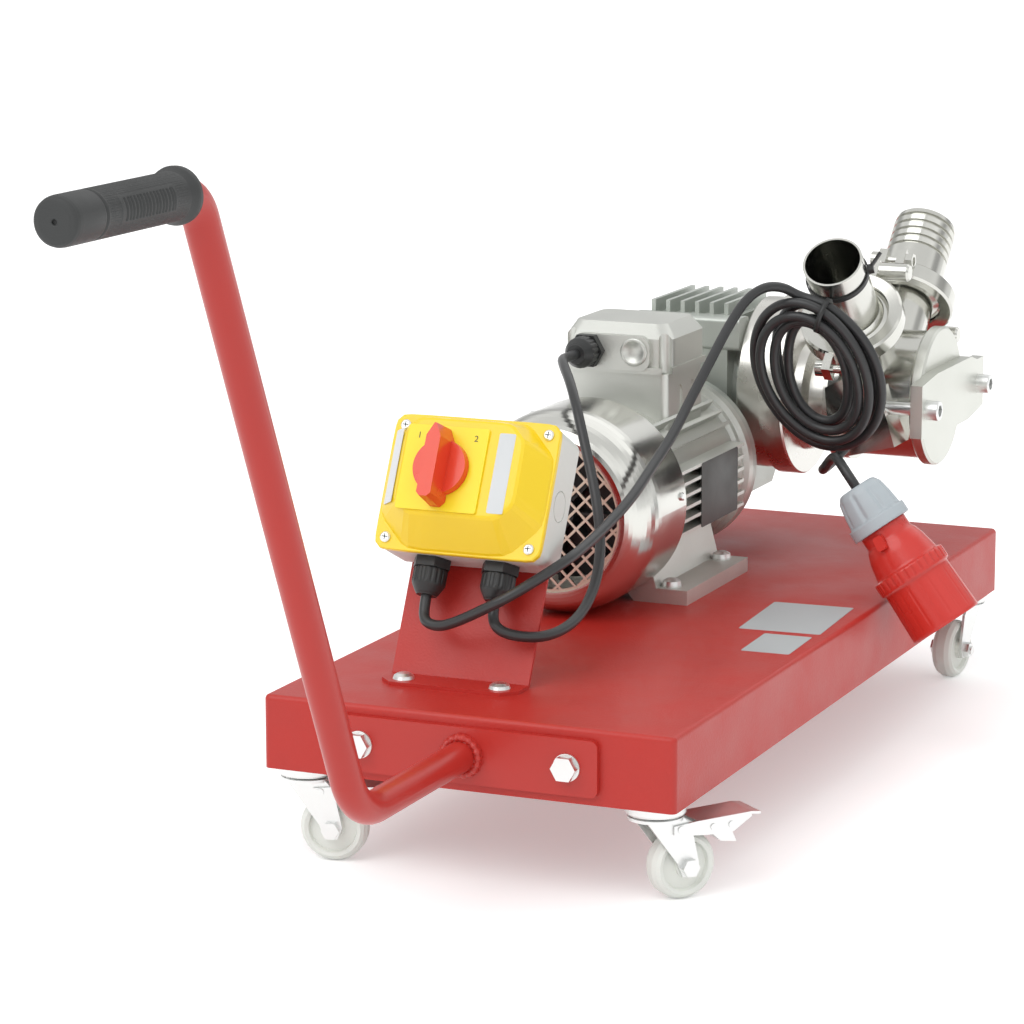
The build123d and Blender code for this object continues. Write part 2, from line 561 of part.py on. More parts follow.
# ---------------------------------------------------------------- motor
motor_axis = along_y(MOTOR_X, 0, MOTOR_Z)
with BuildPart() as frame:
    with BuildSketch(along_y(MOTOR_X, FRAME_Y0, MOTOR_Z)):
        Circle(BARREL_R)
    extrude(amount=FRAME_Y1 - FRAME_Y0)
    fin_len = FRAME_Y1 - FRAME_Y0 - 16
    with BuildSketch(Plane((MOTOR_X, FRAME_Y0 + 10, MOTOR_Z), x_dir=(1, 0, 0), z_dir=(0, 1, 0))):
        for angle in [-101, -90, -79] + list(range(34, 60, 9)) + list(range(124, 150, 9)):
            with Locations(Rot(0, 0, -angle) * Pos((BARREL_R + FIN_R) / 2 - 1, 0)):
                Rectangle(FIN_R - BARREL_R + 2, FIN_T)
        for s in (-1, 1):
            for z in (-30, -19, -8, 3, 14, 25):
                with Locations((s * (BARREL_R + FIN_R) / 2 - s * 6, -z)):
                    Rectangle(FIN_R - BARREL_R + 12, FIN_T)
    extrude(amount=fin_len)
    # pedestal of the terminal box
    with BuildSketch(Plane.XY.offset(MOTOR_Z + 40)):
        with Locations((MOTOR_X, (TBOX_Y0 + TBOX_Y1) / 2)):
            RectangleRounded(2 * TBOX_HALF - 4, TBOX_Y1 - TBOX_Y0 - 4, 6)
    extrude(amount=TBOX_Z0 - MOTOR_Z - 40)
    with BuildSketch(Plane.XY.offset(MOTOR_Z + BARREL_R + 6)):
        with Locations((MOTOR_X, (TBOX_Y0 + TBOX_Y1) / 2)):
            RectangleRounded(2 * TBOX_HALF - 12, TBOX_Y1 - TBOX_Y0 - 12, 4)
    extrude(amount=TBOX_Z0 - MOTOR_Z - BARREL_R, mode=Mode.SUBTRACT)
    with BuildSketch(Plane((MOTOR_X + TBOX_HALF - 2, 0, 0), x_dir=(0, 1, 0), z_dir=(1, 0, 0))):
        with Locations((TBOX_Y0 + 34, TBOX_Z0 - 26), (TBOX_Y0 + 64, TBOX_Z0 - 26)):
            SlotOverall(26, 14, rotation=90)
    extrude(amount=-2, mode=Mode.SUBTRACT)
    with BuildSketch(along_y(MOTOR_X, FRAME_Y0, MOTOR_Z)):
        Circle(BARREL_R - BARREL_WALL)
    extrude(amount=FRAME_Y1 - FRAME_Y0, mode=Mode.SUBTRACT)
keep("motor_frame", frame.part)

feet = []
for s in (-1, 1):
    with BuildPart() as foot:
        with BuildSketch(Plane((MOTOR_X, FOOT_Y0, DECK), x_dir=(1, 0, 0), z_dir=(0, -1, 0))):
            with BuildLine():
                Polyline((s * 40, 0), (s * FOOT_AB / 2, 0), (s * FOOT_AB / 2, FOOT_T), (s * 61, FOOT_T),
                         (s * 52, 48),
                         (s * 30, 48), (s * 30, 12), close=True)
            make_face()
        extrude(amount=-(FOOT_Y1 - FOOT_Y0))
        with BuildSketch(along_y(MOTOR_X, FOOT_Y0 - 1, MOTOR_Z)):
            Circle(BARREL_R + SLIP)
        extrude(amount=FOOT_Y1 - FOOT_Y0 + 2, mode=Mode.SUBTRACT)
        with Locations([(MOTOR_X + s * FOOT_A / 2, foot_mid + b * FOOT_B / 2, DECK + FOOT_T) for b in (-1,
                                                                                                       1)]):
            Hole(5.0 + SLIP, FOOT_T)
    feet.append(foot.part)
keep("motor_feet", *feet)

seat_r, bore_r = 20.0, SHAFT_R + 1.0
drive_shield = turned(along_y(MOTOR_X, FRAME_Y1, MOTOR_Z),
                      [(seat_r, 0), (BARREL_R, 0), (BARREL_R + 4, 2), (BARREL_R + 4, 9), (FLANGE_R, 11),
                       (FLANGE_R, 11 + FLANGE_T), (bore_r, 11 + FLANGE_T), (bore_r, 16), (seat_r, 16)])
fan_shield = turned(along_y(MOTOR_X, FRAME_Y0, MOTOR_Z),
                    [(seat_r, 0), (BARREL_R, 0), (BARREL_R + 2, -2), (COWL_R - COWL_T - SLIP, -4),
                     (COWL_R - COWL_T - SLIP, -12), (30, -14), (22, -18), (bore_r - 2, -18), (bore_r - 2,
                                                                                              -14),
                     (seat_r, -14)])
keep("motor_end_shields", drive_shield, fan_shield)

stator_r, rotor_r = BARREL_R - BARREL_WALL - SLIP, 38.0
keep("stator", turned(along_y(MOTOR_X, FRAME_Y0 + 40, MOTOR_Z),
                      [(rotor_r + 0.5, 0), (rotor_r + 2, -4), (rotor_r + 4, -26), (stator_r - 6, -26),
                       (stator_r - 3, -2),
                       (stator_r, 0), (stator_r, 100), (stator_r - 3, 102), (stator_r - 6,
                                                                             126), (rotor_r + 4, 126),
                       (rotor_r + 2, 104), (rotor_r + 0.5, 100)]))
keep("motor_rotor", turned(motor_axis,
                           [(0, COWL_Y0 + 22), (7, COWL_Y0 + 22), (7, FRAME_Y0 - 19), (10, FRAME_Y0 - 17),
                            (10, FRAME_Y0),
                            (13, FRAME_Y0 + 2), (13, FRAME_Y0 + 34), (rotor_r, FRAME_Y0 + 36), (rotor_r,
                                                                                                FRAME_Y0 + 144),
                            (13, FRAME_Y0 + 146), (13, FRAME_Y1 + 3), (10, FRAME_Y1 + 4), (10,
                                                                                           FRAME_Y1 + 17),
                            (8, FRAME_Y1 + 19), (8, OUT_Y - 40), (0, OUT_Y - 40)]))

fan_disc = turned(along_y(MOTOR_X, COWL_Y0 + 24, MOTOR_Z),
                  [(7 + SLIP, 0), (14, 0), (16, 16), (60, 20), (60, 23), (15, 22), (7 + SLIP, 22)])
with BuildPart() as fan:
    add(fan_disc)
    with BuildSketch(along_y(MOTOR_X, COWL_Y0 + 24 + 20.5, MOTOR_Z)):
        with PolarLocations(38, 8):
            Rectangle(44, 2.5)
    extrude(amount=-18)
keep("cooling_fan", fan.part)


def cowl_skin(inset):
    """Points (radius, Y) along the cowl's rolled front, from the open back to the mouth."""
    roll, depth, steps = COWL_R - COWL_MOUTH - inset, COWL_ROLL - inset, 10
    arc = [(k * pi / 2 / steps) for k in range(steps + 1)]
    return [(COWL_R - inset, COWL_Y1)] + [(COWL_MOUTH + roll * cos(t),
                                           COWL_Y0 + COWL_ROLL - depth * sin(t)) for t in arc]


cowl_turned = turned(motor_axis, cowl_skin(0) + [(COWL_MOUTH - 1.5, COWL_Y0), (COWL_MOUTH - 1.5,
                                                                               COWL_Y0 + COWL_T)]
                     + cowl_skin(COWL_T)[::-1])
cowl_screw_seats = []
for angle in (6, 126, 246):
    out = (cos(radians(angle)), 0, sin(radians(angle)))
    cowl_screw_seats.append(Plane((MOTOR_X + (COWL_R + SLIP) * out[0], COWL_Y1 - 11,
                                   MOTOR_Z + (COWL_R + SLIP) * out[2]),
                                  x_dir=(0, 1, 0), z_dir=out))
with BuildPart() as cowl:
    add(cowl_turned)
    for seat in cowl_screw_seats:
        with BuildSketch(seat):
            Circle(2 + SLIP)
        extrude(amount=-COWL_T - 1, mode=Mode.SUBTRACT)
keep("fan_cowl", cowl.part)
small_screws += [pan_screw(seat, 2.0, 3.6, 2.4, COWL_T) for seat in cowl_screw_seats]

grille_r = COWL_MOUTH - 1.5
bar, pitch = 2.2, 12.0
with BuildPart() as grille:
    with BuildSketch(along_y(MOTOR_X, COWL_Y0 + 2, MOTOR_Z)):
        for k in range(-5, 6):
            offset_k = k * pitch
            chord = 2 * sqrt(max(grille_r ** 2 - offset_k ** 2, 1)) - 1
            for angle in (45, -45):
                with Locations(Rot(0, 0, angle) * Pos(0, offset_k)):
                    Rectangle(chord, bar)
        Circle(grille_r)
        Circle(grille_r - 2.5, mode=Mode.SUBTRACT)
        for k in range(-5, 6):
            offset_k = k * pitch
            chord = 2 * sqrt(max(grille_r ** 2 - offset_k ** 2, 1)) - 1
            for angle in (45, -45):
                with Locations(Rot(0, 0, angle) * Pos(0, offset_k)):
                    Rectangle(chord, bar)
    extrude(amount=1.6)
keep("cowl_grille", grille.part)
tbox_mid = (TBOX_Y0 + TBOX_Y1) / 2
tbox_w, tbox_l = 2 * TBOX_HALF + 4, TBOX_Y1 - TBOX_Y0 + 4
with BuildPart() as tbox:
    with BuildSketch(Plane.XY.offset(TBOX_Z0)):
        with Locations((MOTOR_X, tbox_mid)):
            RectangleRounded(tbox_w, tbox_l, 9)
    extrude(amount=6)
    with BuildSketch(Plane.XY.offset(TBOX_Z0 + 6)):
        with Locations((MOTOR_X, tbox_mid)):
            RectangleRounded(tbox_w - 2, tbox_l - 8, 12)
    extrude(amount=TBOX_H - 18)
    with BuildSketch(Plane.XY.offset(TBOX_Z0 + TBOX_H - 12)):
        with Locations((MOTOR_X, tbox_mid)):
            RectangleRounded(tbox_w - 2, tbox_l - 8, 12)
    with BuildSketch(Plane.XY.offset(TBOX_Z0 + TBOX_H)):
        with Locations((MOTOR_X - 2, tbox_mid + 3)):
            RectangleRounded(tbox_w - 18, tbox_l - 26, 10)
    loft(ruled=True)
    with BuildSketch(Plane((MOTOR_X - 4, TBOX_Y0 - 3, TBOX_Z0 + 18), x_dir=(1, 0, 0), z_dir=(0, -1, 0))):
        RectangleRounded(74, 31, 10)
    extrude(amount=-10)
    with BuildSketch(Plane.XY.offset(TBOX_Z0)):
        with Locations((MOTOR_X, tbox_mid)):
            RectangleRounded(tbox_w - 26, tbox_l - 24, 6)
    extrude(amount=TBOX_H - 8, mode=Mode.SUBTRACT)
    with BuildSketch(tbox_gland_seat):
        Circle(8 + SLIP)
    extrude(amount=-16, mode=Mode.SUBTRACT)
    with BuildSketch(Plane((MOTOR_X + 18, TBOX_Y0 - 3, TBOX_Z0 + 19), x_dir=(1, 0, 0), z_dir=(0, -1, 0))):
        Circle(10.5)
        Circle(8.5, mode=Mode.SUBTRACT)
    extrude(amount=-3, mode=Mode.SUBTRACT)
    with Locations([(MOTOR_X + a * (TBOX_HALF - 4), tbox_mid + b * ((TBOX_Y1 - TBOX_Y0) / 2 - 4),
                     TBOX_Z0 + 6)
                    for a in (-1, 1) for b in (-1, 1)]):
        CounterBoreHole(2.5, 6, TBOX_H - 20, TBOX_H)
keep("terminal_box", tbox.part)

# ---------------------------------------------------------------- worm gearbox
out_seat = along_x(0, OUT_Y, OUT_Z)
gear_mid_x = (GEARBOX_X0 + GEARBOX_X1) / 2
input_y = FRAME_Y1 + 11 + FLANGE_T
body_y0, body_y1 = OUT_Y - GEARBOX_HALF_Y, OUT_Y + GEARBOX_HALF_Y
WHEEL_TIP = CENTRE_DISTANCE - WORM_R - 0.6
CAVITY_R, CAVITY_HALF = WHEEL_TIP + 4, 22.0
HOLLOW_R = 19.0
WHEEL_BEARING_R = HOLLOW_R + 14.0
fins = []
for x in [gear_mid_x - 36 + 14.4 * k for k in range(6)]:
    fins.append(block((x - 2, body_y0 + 18, GEARBOX_HIGH - 2),
                      (x + 2, body_y1 - 18, GEARBOX_HIGH + GEARBOX_FIN)))
    fins.append(block((x - 2, body_y1 - 2, GEARBOX_LOW + 24), (x + 2, body_y1 + 10, GEARBOX_HIGH - 30)))
input_flange = turned(along_y(MOTOR_X, input_y, MOTOR_Z),
                      [(0, 0), (FLANGE_R, 0), (FLANGE_R, 9), (54, 13), (50, body_y0 - input_y + 6),
                       (0, body_y0 - input_y + 6)])
with BuildPart() as gearbox:
    with BuildSketch(Plane((gear_mid_x - 44, OUT_Y, 0), x_dir=(0, 1, 0), z_dir=(1, 0, 0))):
        with BuildLine():
            Polyline((-GEARBOX_HALF_Y, GEARBOX_LOW + 12), (-GEARBOX_HALF_Y + 12, GEARBOX_LOW),
                     (GEARBOX_HALF_Y - 12, GEARBOX_LOW), (GEARBOX_HALF_Y, GEARBOX_LOW + 12),
                     (GEARBOX_HALF_Y, GEARBOX_HIGH - 22), (GEARBOX_HALF_Y - 22, GEARBOX_HIGH),
                     (-GEARBOX_HALF_Y + 22, GEARBOX_HIGH), (-GEARBOX_HALF_Y, GEARBOX_HIGH - 22), close=True)
        make_face()
    extrude(amount=88)
    # round bosses of the output bearings
    with BuildSketch(along_x(GEARBOX_X0 + 6, OUT_Y, OUT_Z)):
        Circle(56)
    extrude(amount=GEARBOX_X1 - GEARBOX_X0 - 6)
    # corner blocks with the fixing holes
    with BuildSketch(Plane((GEARBOX_X0 + 6, OUT_Y, OUT_Z), x_dir=(0, 1, 0), z_dir=(1, 0, 0))):
        with GridLocations(2 * GEARBOX_HALF_Y - 22, 2 * (GEARBOX_HIGH - OUT_Z) - 26, 2, 2):
            RectangleRounded(26, 30, 4)
    extrude(amount=GEARBOX_X1 - GEARBOX_X0 - 6)
    add(fins + [input_flange])
    # cavities for the worm wheel, the worm and their bearings
    with BuildSketch(along_x(gear_mid_x - CAVITY_HALF, OUT_Y, OUT_Z)):
        Circle(CAVITY_R)
    extrude(amount=2 * CAVITY_HALF, mode=Mode.SUBTRACT)
    with BuildSketch(along_x(GEARBOX_X0, OUT_Y, OUT_Z)):
        Circle(CAVITY_R)
    extrude(amount=gear_mid_x - GEARBOX_X0, mode=Mode.SUBTRACT)
    with BuildSketch(along_x(gear_mid_x, OUT_Y, OUT_Z)):
        Circle(WHEEL_BEARING_R)
    extrude(amount=CAVITY_HALF + 16, mode=Mode.SUBTRACT)
    with BuildSketch(along_x(gear_mid_x, OUT_Y, OUT_Z)):
        Circle(HOLLOW_R + 1)
    extrude(amount=GEARBOX_X1 - gear_mid_x, mode=Mode.SUBTRACT)
    with BuildSketch(along_y(MOTOR_X, input_y, MOTOR_Z)):
        Circle(WORM_R + 9)
    extrude(amount=body_y1 - 8 - input_y, mode=Mode.SUBTRACT)
keep("gearbox_housing", gearbox.part)

cover_turned = turned(along_x(GEARBOX_X0, OUT_Y, OUT_Z),
                      [(HOLLOW_R + 1, 0), (34, 0), (36, 2), (56, 2), (56, 6), (CAVITY_R - SLIP, 6),
                       (CAVITY_R - SLIP, 18),
                       (WHEEL_BEARING_R, 18), (WHEEL_BEARING_R, 8), (HOLLOW_R + 1, 8)])
with BuildPart() as side_cover:
    add(cover_turned)
    with BuildSketch(along_x(GEARBOX_X0 + 2, OUT_Y, OUT_Z)):
        with PolarLocations(50, 8, start_angle=22.5):
            Circle(3)
    extrude(amount=-1.6)
keep("gearbox_side_cover", side_cover.part)

balls = [bearing(along_x(GEARBOX_X0 + 8, OUT_Y, OUT_Z), HOLLOW_R, WHEEL_BEARING_R, 10),
         bearing(along_x(gear_mid_x + CAVITY_HALF + 6, OUT_Y, OUT_Z), HOLLOW_R, WHEEL_BEARING_R, 10),
         bearing(along_y(MOTOR_X, FRAME_Y1 + 4, MOTOR_Z), 10, 20, 12),
         bearing(along_y(MOTOR_X, FRAME_Y0 - 14, MOTOR_Z), 10, 20, 12),
         bearing(along_y(MOTOR_X, body_y0 - 6, MOTOR_Z), 11, WORM_R + 9, 11),
         bearing(along_y(MOTOR_X, body_y1 - 20, MOTOR_Z), 9, WORM_R + 9, 11)]

worm_ridges = []
for k in range(9):
    y = OUT_Y - 27 + 6 * k
    worm_ridges += [(WORM_R - 4, y), (WORM_R, y + 1.6), (WORM_R, y + 3), (WORM_R - 4, y + 4.6)]
keep("worm", turned(motor_axis,
                    [(8 + SLIP, input_y + 6), (11, input_y + 6), (11, body_y0 + 6),
                     (WORM_R - 4, body_y0 + 8)]
                    + worm_ridges + [(WORM_R - 4, body_y1 - 23), (9, body_y1 - 21), (9, body_y1 - 9),
                                     (0, body_y1 - 9),
                                     (0, OUT_Y - 39), (8 + SLIP, OUT_Y - 39)]))

rim_in, quill_r = WHEEL_TIP - 6, HOLLOW_R - 7
wheel_half = 14.0
wheel_turned = turned(out_seat, [(quill_r, GEARBOX_X0 + 1), (HOLLOW_R, GEARBOX_X0 + 1),
                                 (HOLLOW_R, gear_mid_x - wheel_half),
                                 (32, gear_mid_x - wheel_half), (32, gear_mid_x - 6), (rim_in,
                                                                                       gear_mid_x - 6),
                                 (rim_in, gear_mid_x - wheel_half), (WHEEL_TIP - 4,
                                                                     gear_mid_x - wheel_half),
                                 (WHEEL_TIP - 4, gear_mid_x + wheel_half), (rim_in,
                                                                            gear_mid_x + wheel_half),
                                 (rim_in, gear_mid_x + 6), (32, gear_mid_x + 6), (32,
                                                                                  gear_mid_x + wheel_half),
                                 (HOLLOW_R, gear_mid_x + wheel_half), (HOLLOW_R, GEARBOX_X1 - 1),
                                 (quill_r, GEARBOX_X1 - 1)])
with BuildPart() as worm_wheel:
    add(wheel_turned)
    with BuildSketch(along_x(gear_mid_x - wheel_half, OUT_Y, OUT_Z)):
        with PolarLocations(WHEEL_TIP - 3.5, WHEEL_TEETH):
            Rectangle(6.0, 4.4)
    extrude(amount=2 * wheel_half)
keep("worm_wheel", worm_wheel.part)

# ---------------------------------------------------------------- timing gear case
PITCH_R = SHAFT_SPACING / 2
MODULE = SHAFT_SPACING / TIMING_TEETH
GEAR_X0, GEAR_W = CASE_X0 + 12.0, 14.0
gear_cavity_r = PITCH_R + MODULE + 1.5


def shafts_at(x):
    """Seats on the upper (driving) and lower (driven) pump shafts, at a place along X."""
    return [along_x(x, OUT_Y, OUT_Z), along_x(x, OUT_Y, LOW_Z)]


with BuildPart() as case_rear:
    with BuildSketch(along_x(CASE_X0, OUT_Y, OUT_Z)):
        Circle(CASE_R0)
    extrude(amount=CASE_X1 - CASE_X0)
    chamfer(case_rear.edges().filter_by(GeomType.CIRCLE).group_by(Axis.X)[0], 2)
    for seat in shafts_at(GEAR_X0 - 1):
        with BuildSketch(seat):
            Circle(gear_cavity_r)
        extrude(amount=CASE_X1 - GEAR_X0 + 1, mode=Mode.SUBTRACT)
    with BuildSketch(shafts_at(CASE_X0)[0]):
        Circle(BEARING_R)
    extrude(amount=GEAR_X0 - CASE_X0, mode=Mode.SUBTRACT)
    with BuildSketch(shafts_at(GEAR_X0 - 1 - 8)[1]):
        Circle(BEARING_R)
    extrude(amount=9, mode=Mode.SUBTRACT)
keep("gear_case_rear", case_rear.part)

neck_seat = along_x(CASE_X2, OUT_Y, OUT_Z - NECK_DROP)
neck = turned(neck_seat, [(0, -2), (NECK_R + 10, -2), (NECK_R + 8, 8), (NECK_R, 13), (NECK_R, 26),
                          (NECK_R + 14, 31),
                          (NECK_R + 14, NECK_X1 - CASE_X2), (0, NECK_X1 - CASE_X2)])
with BuildPart() as case_front:
    with BuildSketch(along_x(CASE_X1, OUT_Y, OUT_Z)):
        Circle(CASE_R1)
    extrude(amount=CASE_X2 - CASE_X1)
    chamfer(case_front.edges().filter_by(GeomType.CIRCLE).group_by(Axis.X)[-1], 1.5)
    add(neck)
    for seat in shafts_at(CASE_X1):
        with BuildSketch(seat):
            Circle(gear_cavity_r)
        extrude(amount=8, mode=Mode.SUBTRACT)
    for seat in shafts_at(CASE_X1 + 8):
        with BuildSketch(seat):
            Circle(BEARING_R)
        extrude(amount=NECK_X1 - CASE_X1 - 8, mode=Mode.SUBTRACT)
keep("gear_case_front", case_front.part)

balls += [bearing(shafts_at(CASE_X0 + 1)[0], PUMP_SHAFT_R, BEARING_R, BEARING_W - 1),
          bearing(shafts_at(GEAR_X0 - 9)[1], PUMP_SHAFT_R, BEARING_R, 8)]
for seat in shafts_at(CASE_X1 + 8.5) + shafts_at(CASE_X2 + 12):
    balls.append(bearing(seat, PUMP_SHAFT_R, BEARING_R, BEARING_W))
keep("ball_bearings", *balls)
seals = [turned(seat, [(PUMP_SHAFT_R + RUN, 0), (BEARING_R - SLIP, 0), (BEARING_R - SLIP, 7),
                       (PUMP_SHAFT_R + 2, 7), (PUMP_SHAFT_R + 2, 2),
                       (PUMP_SHAFT_R + RUN, 2)]) for seat in shafts_at(NECK_X1 - 8)]
keep("shaft_seals", *seals)


def tooth_points(teeth, pitch_r, module, backlash, turn):
    """Spur-gear outline: each tooth is a trapezoid with a rounded-off flank."""
    points = []
    step = 2 * pi / teeth
    for k in range(teeth):
        mid = turn + k * step
        for r, share in ((pitch_r - 1.2 * module, -0.40), (pitch_r - 0.5 * module, -0.325),
                         (pitch_r + 0.2 * module, -0.225),
                         (pitch_r + 0.9 * module, -0.11), (pitch_r + 0.9 * module,
                                                           0.11), (pitch_r + 0.2 * module, 0.225),
                         (pitch_r - 0.5 * module, 0.325), (pitch_r - 1.2 * module, 0.40)):
            narrow = backlash / r * (1 if share < 0 else -1)
            angle = mid + share * step + narrow
            points.append((r * cos(angle), r * sin(angle)))
    return points


def timing_gear(seat, turn):
    """One of the two equal timing gears, bored for its shaft."""
    with BuildPart() as gear:
        with BuildSketch(seat):
            with BuildLine():
                Polyline(*tooth_points(TIMING_TEETH, PITCH_R, MODULE, 0.12, turn), close=True)
            make_face()
            Circle(PUMP_SHAFT_R + SLIP, mode=Mode.SUBTRACT)
        extrude(amount=GEAR_W)
    return gear.part


tooth_half = pi / TIMING_TEETH
keep("drive_timing_gear", timing_gear(shafts_at(GEAR_X0)[0], -pi / 2))
keep("driven_timing_gear", timing_gear(shafts_at(GEAR_X0)[1], pi / 2 + tooth_half))

LOBE_X0 = BODY_X0 + 8
shaft_front = LOBE_X0 + LOBE_W + 6.0
keep("drive_shaft", turned(shafts_at(0)[0], [(0, GEARBOX_X0 + 4), (quill_r - SLIP, GEARBOX_X0 + 4),
                                             (quill_r - SLIP, GEARBOX_X1), (PUMP_SHAFT_R, CASE_X0 + 1),
                                             (PUMP_SHAFT_R, shaft_front), (0, shaft_front)]))
keep("driven_shaft", turned(shafts_at(0)[1], [(0, GEAR_X0 - 8.5), (PUMP_SHAFT_R, GEAR_X0 - 8.5),
                                              (PUMP_SHAFT_R, shaft_front), (0, shaft_front)]))


def lobe_points(turn):
    """Three-lobed outline: epicycloid tips and hypocycloid roots on the pitch circle, set back."""
    roll_r = PITCH_R / 6
    points = []
    for k in range(6):
        start = turn + k * pi / 3
        for j in range(8):
            t = j / 8 * pi / 3
            ratio = PITCH_R / roll_r
            if k % 2:
                x = (PITCH_R + roll_r) * cos(t) - roll_r * cos((ratio + 1) * t)
                y = (PITCH_R + roll_r) * sin(t) - roll_r * sin((ratio + 1) * t)
            else:
                x = (PITCH_R - roll_r) * cos(t) + roll_r * cos((ratio - 1) * t)
                y = (PITCH_R - roll_r) * sin(t) - roll_r * sin((ratio - 1) * t)
            r, a = hypot(x, y) - LOBE_CLEAR, atan2(y, x) + start
            points.append((r * cos(a), r * sin(a)))
    return points


def lobe_rotor(seat, turn):
    """Rotor with its bore, and the domed nut that holds it on the shaft."""
    with BuildPart() as lobes:
        with BuildSketch(seat):
            with BuildLine():
                Polyline(*lobe_points(turn), close=True)
            make_face()
            Circle(PUMP_SHAFT_R + SLIP, mode=Mode.SUBTRACT)
        extrude(amount=LOBE_W)
    bore = PUMP_SHAFT_R + SLIP
    nut = turned(seat.offset(LOBE_W), [(bore, 0), (10, 0), (10, 6), (7, 9), (0, 10), (0, 6), (bore, 6)])
    return [lobes.part, nut]


keep("drive_rotor", *lobe_rotor(shafts_at(LOBE_X0)[0], -pi / 2 - pi / 6))
keep("driven_rotor", *lobe_rotor(shafts_at(LOBE_X0)[1], pi / 2 + pi / 6))

# ---------------------------------------------------------------- pump body and ports
CHAMBER_R = LOBE_TIP + 0.1
slope = sqrt(0.5)


def port_seat(side, reach):
    """Seat on a port's axis: side -1 leans to the front, +1 to the back; Z points out."""
    return Plane((PORT_X, OUT_Y + side * reach * slope, BODY_Z + reach * slope), x_dir=(1, 0, 0),
                 z_dir=(0, side * slope, slope))


stub_end = FERRULE_AT - FERRULE_T
ferrules = [turned(port_seat(side, stub_end - 6), [(PORT_BORE + 1, 0), (PORT_BORE + 3, 0), (FERRULE_R, 4),
                                                   (FERRULE_R, 6), (PORT_BORE + 1, 6)]) for side in (-1, 1)]
with BuildPart() as pump_body:
    with BuildSketch(along_x(BODY_X0, OUT_Y, BODY_Z)):
        Circle(BODY_R)
    extrude(amount=BODY_X1 - BODY_X0)
    with BuildSketch(along_x(BODY_X0, OUT_Y, BODY_Z)):
        Circle(BODY_R + 5)
    extrude(amount=10)
    for side in (-1, 1):
        with BuildSketch(port_seat(side, BODY_R - 20)):
            Circle(PORT_BORE + 3)
        extrude(amount=stub_end - BODY_R + 20)
        # lug that takes the bridge screw
        flank = Plane((0, OUT_Y + side * (BRIDGE_SCREW_Y + 11), BODY_Z), x_dir=(1, 0, 0), z_dir=(0, -1, 0))
        with BuildSketch(flank):
            with BuildLine():
                Polyline((BODY_X0 + 7, 16), (BODY_X0 + 26, 26), (BODY_X1 - 22, 18), (BODY_X1 - 12, -8),
                         (BODY_X1 - 4, -34), (BODY_X0 + 28, -46), (BODY_X0 + 12, -34), close=True)
            make_face()
        extrude(amount=side * 44)
    add(ferrules)
    # chambers, passages and ports
    for seat in shafts_at(LOBE_X0 - 0.5):
        with BuildSketch(seat):
            Circle(CHAMBER_R)
        extrude(amount=BODY_X1 - LOBE_X0 + 0.5, mode=Mode.SUBTRACT)
    for seat in shafts_at(BODY_X0):
        with BuildSketch(seat):
            Circle(PUMP_SHAFT_R + 1)
        extrude(amount=LOBE_X0 - BODY_X0, mode=Mode.SUBTRACT)
    for side in (-1, 1):
        with BuildSketch(Plane((LOBE_X0, OUT_Y, OUT_Z), x_dir=(0, 1, 0), z_dir=(1, 0, 0))):
            with BuildLine():
                Polyline((side * 10, -20), (side * 14, -9), (side * 27, -4), (side * 27, 22),
                         (side * 46, 30),
                         (side * 48, -8), (side * 38, -28), (side * 24, -27), close=True)
            make_face()
        extrude(amount=LOBE_W, mode=Mode.SUBTRACT)
        with BuildSketch(port_seat(side, 36)):
            Circle(PORT_BORE - 4)
        extrude(amount=40, mode=Mode.SUBTRACT)
        with BuildSketch(port_seat(side, 60)):
            Circle(PORT_BORE)
        extrude(amount=stub_end - 60 + 1, mode=Mode.SUBTRACT)
        with BuildSketch(along_x(BODY_X1 - 60, OUT_Y + side * BRIDGE_SCREW_Y, BODY_Z)):
            Circle(6 + SLIP)
        extrude(amount=62, mode=Mode.SUBTRACT)
keep("pump_body", pump_body.part)

keep("pump_cover", turned(along_x(BODY_X1, OUT_Y, BODY_Z),
                          [(0, 0), (COVER_R - 2, 0), (COVER_R, 2), (COVER_R, COVER_T - 2),
                                                            (COVER_R - 2, COVER_T), (0, COVER_T)]))

bridge_x = BODY_X1 + COVER_T
with BuildPart() as bridge:
    with BuildSketch(Plane((bridge_x, OUT_Y, BODY_Z), x_dir=(0, 1, 0), z_dir=(1, 0, 0))):
        with BuildLine():
            Polyline((-96, 24), (-50, 29), (56, 29), (74, 24), (96, 24), (96, -22), (50, -29), (-50, -29),
                     (-96, -24),
                     close=True)
        make_face()
        with Locations((-BRIDGE_SCREW_Y, 0), (BRIDGE_SCREW_Y, 0)):
            Circle(6 + SLIP, mode=Mode.SUBTRACT)
    extrude(amount=BRIDGE_T)
keep("bridge_plate", bridge.part)
cap_screws = []
for s in (-1, 1):
    seat = along_x(bridge_x + BRIDGE_T, OUT_Y + s * BRIDGE_SCREW_Y, BODY_Z)
    shank = turned(seat, [(0, -BRIDGE_T - COVER_T - 40), (6, -BRIDGE_T - COVER_T - 40), (6, 0), (9, 0),
                          (9, 11),
                          (8.2, 12), (0, 12)])
    with BuildPart() as cap_screw:
        add(shank)
        with BuildSketch(seat.offset(12)):
            RegularPolygon(5, 6, major_radius=False)
        extrude(amount=-6, mode=Mode.SUBTRACT)
    cap_screws.append(cap_screw.part)
keep("bridge_screws", *cap_screws)

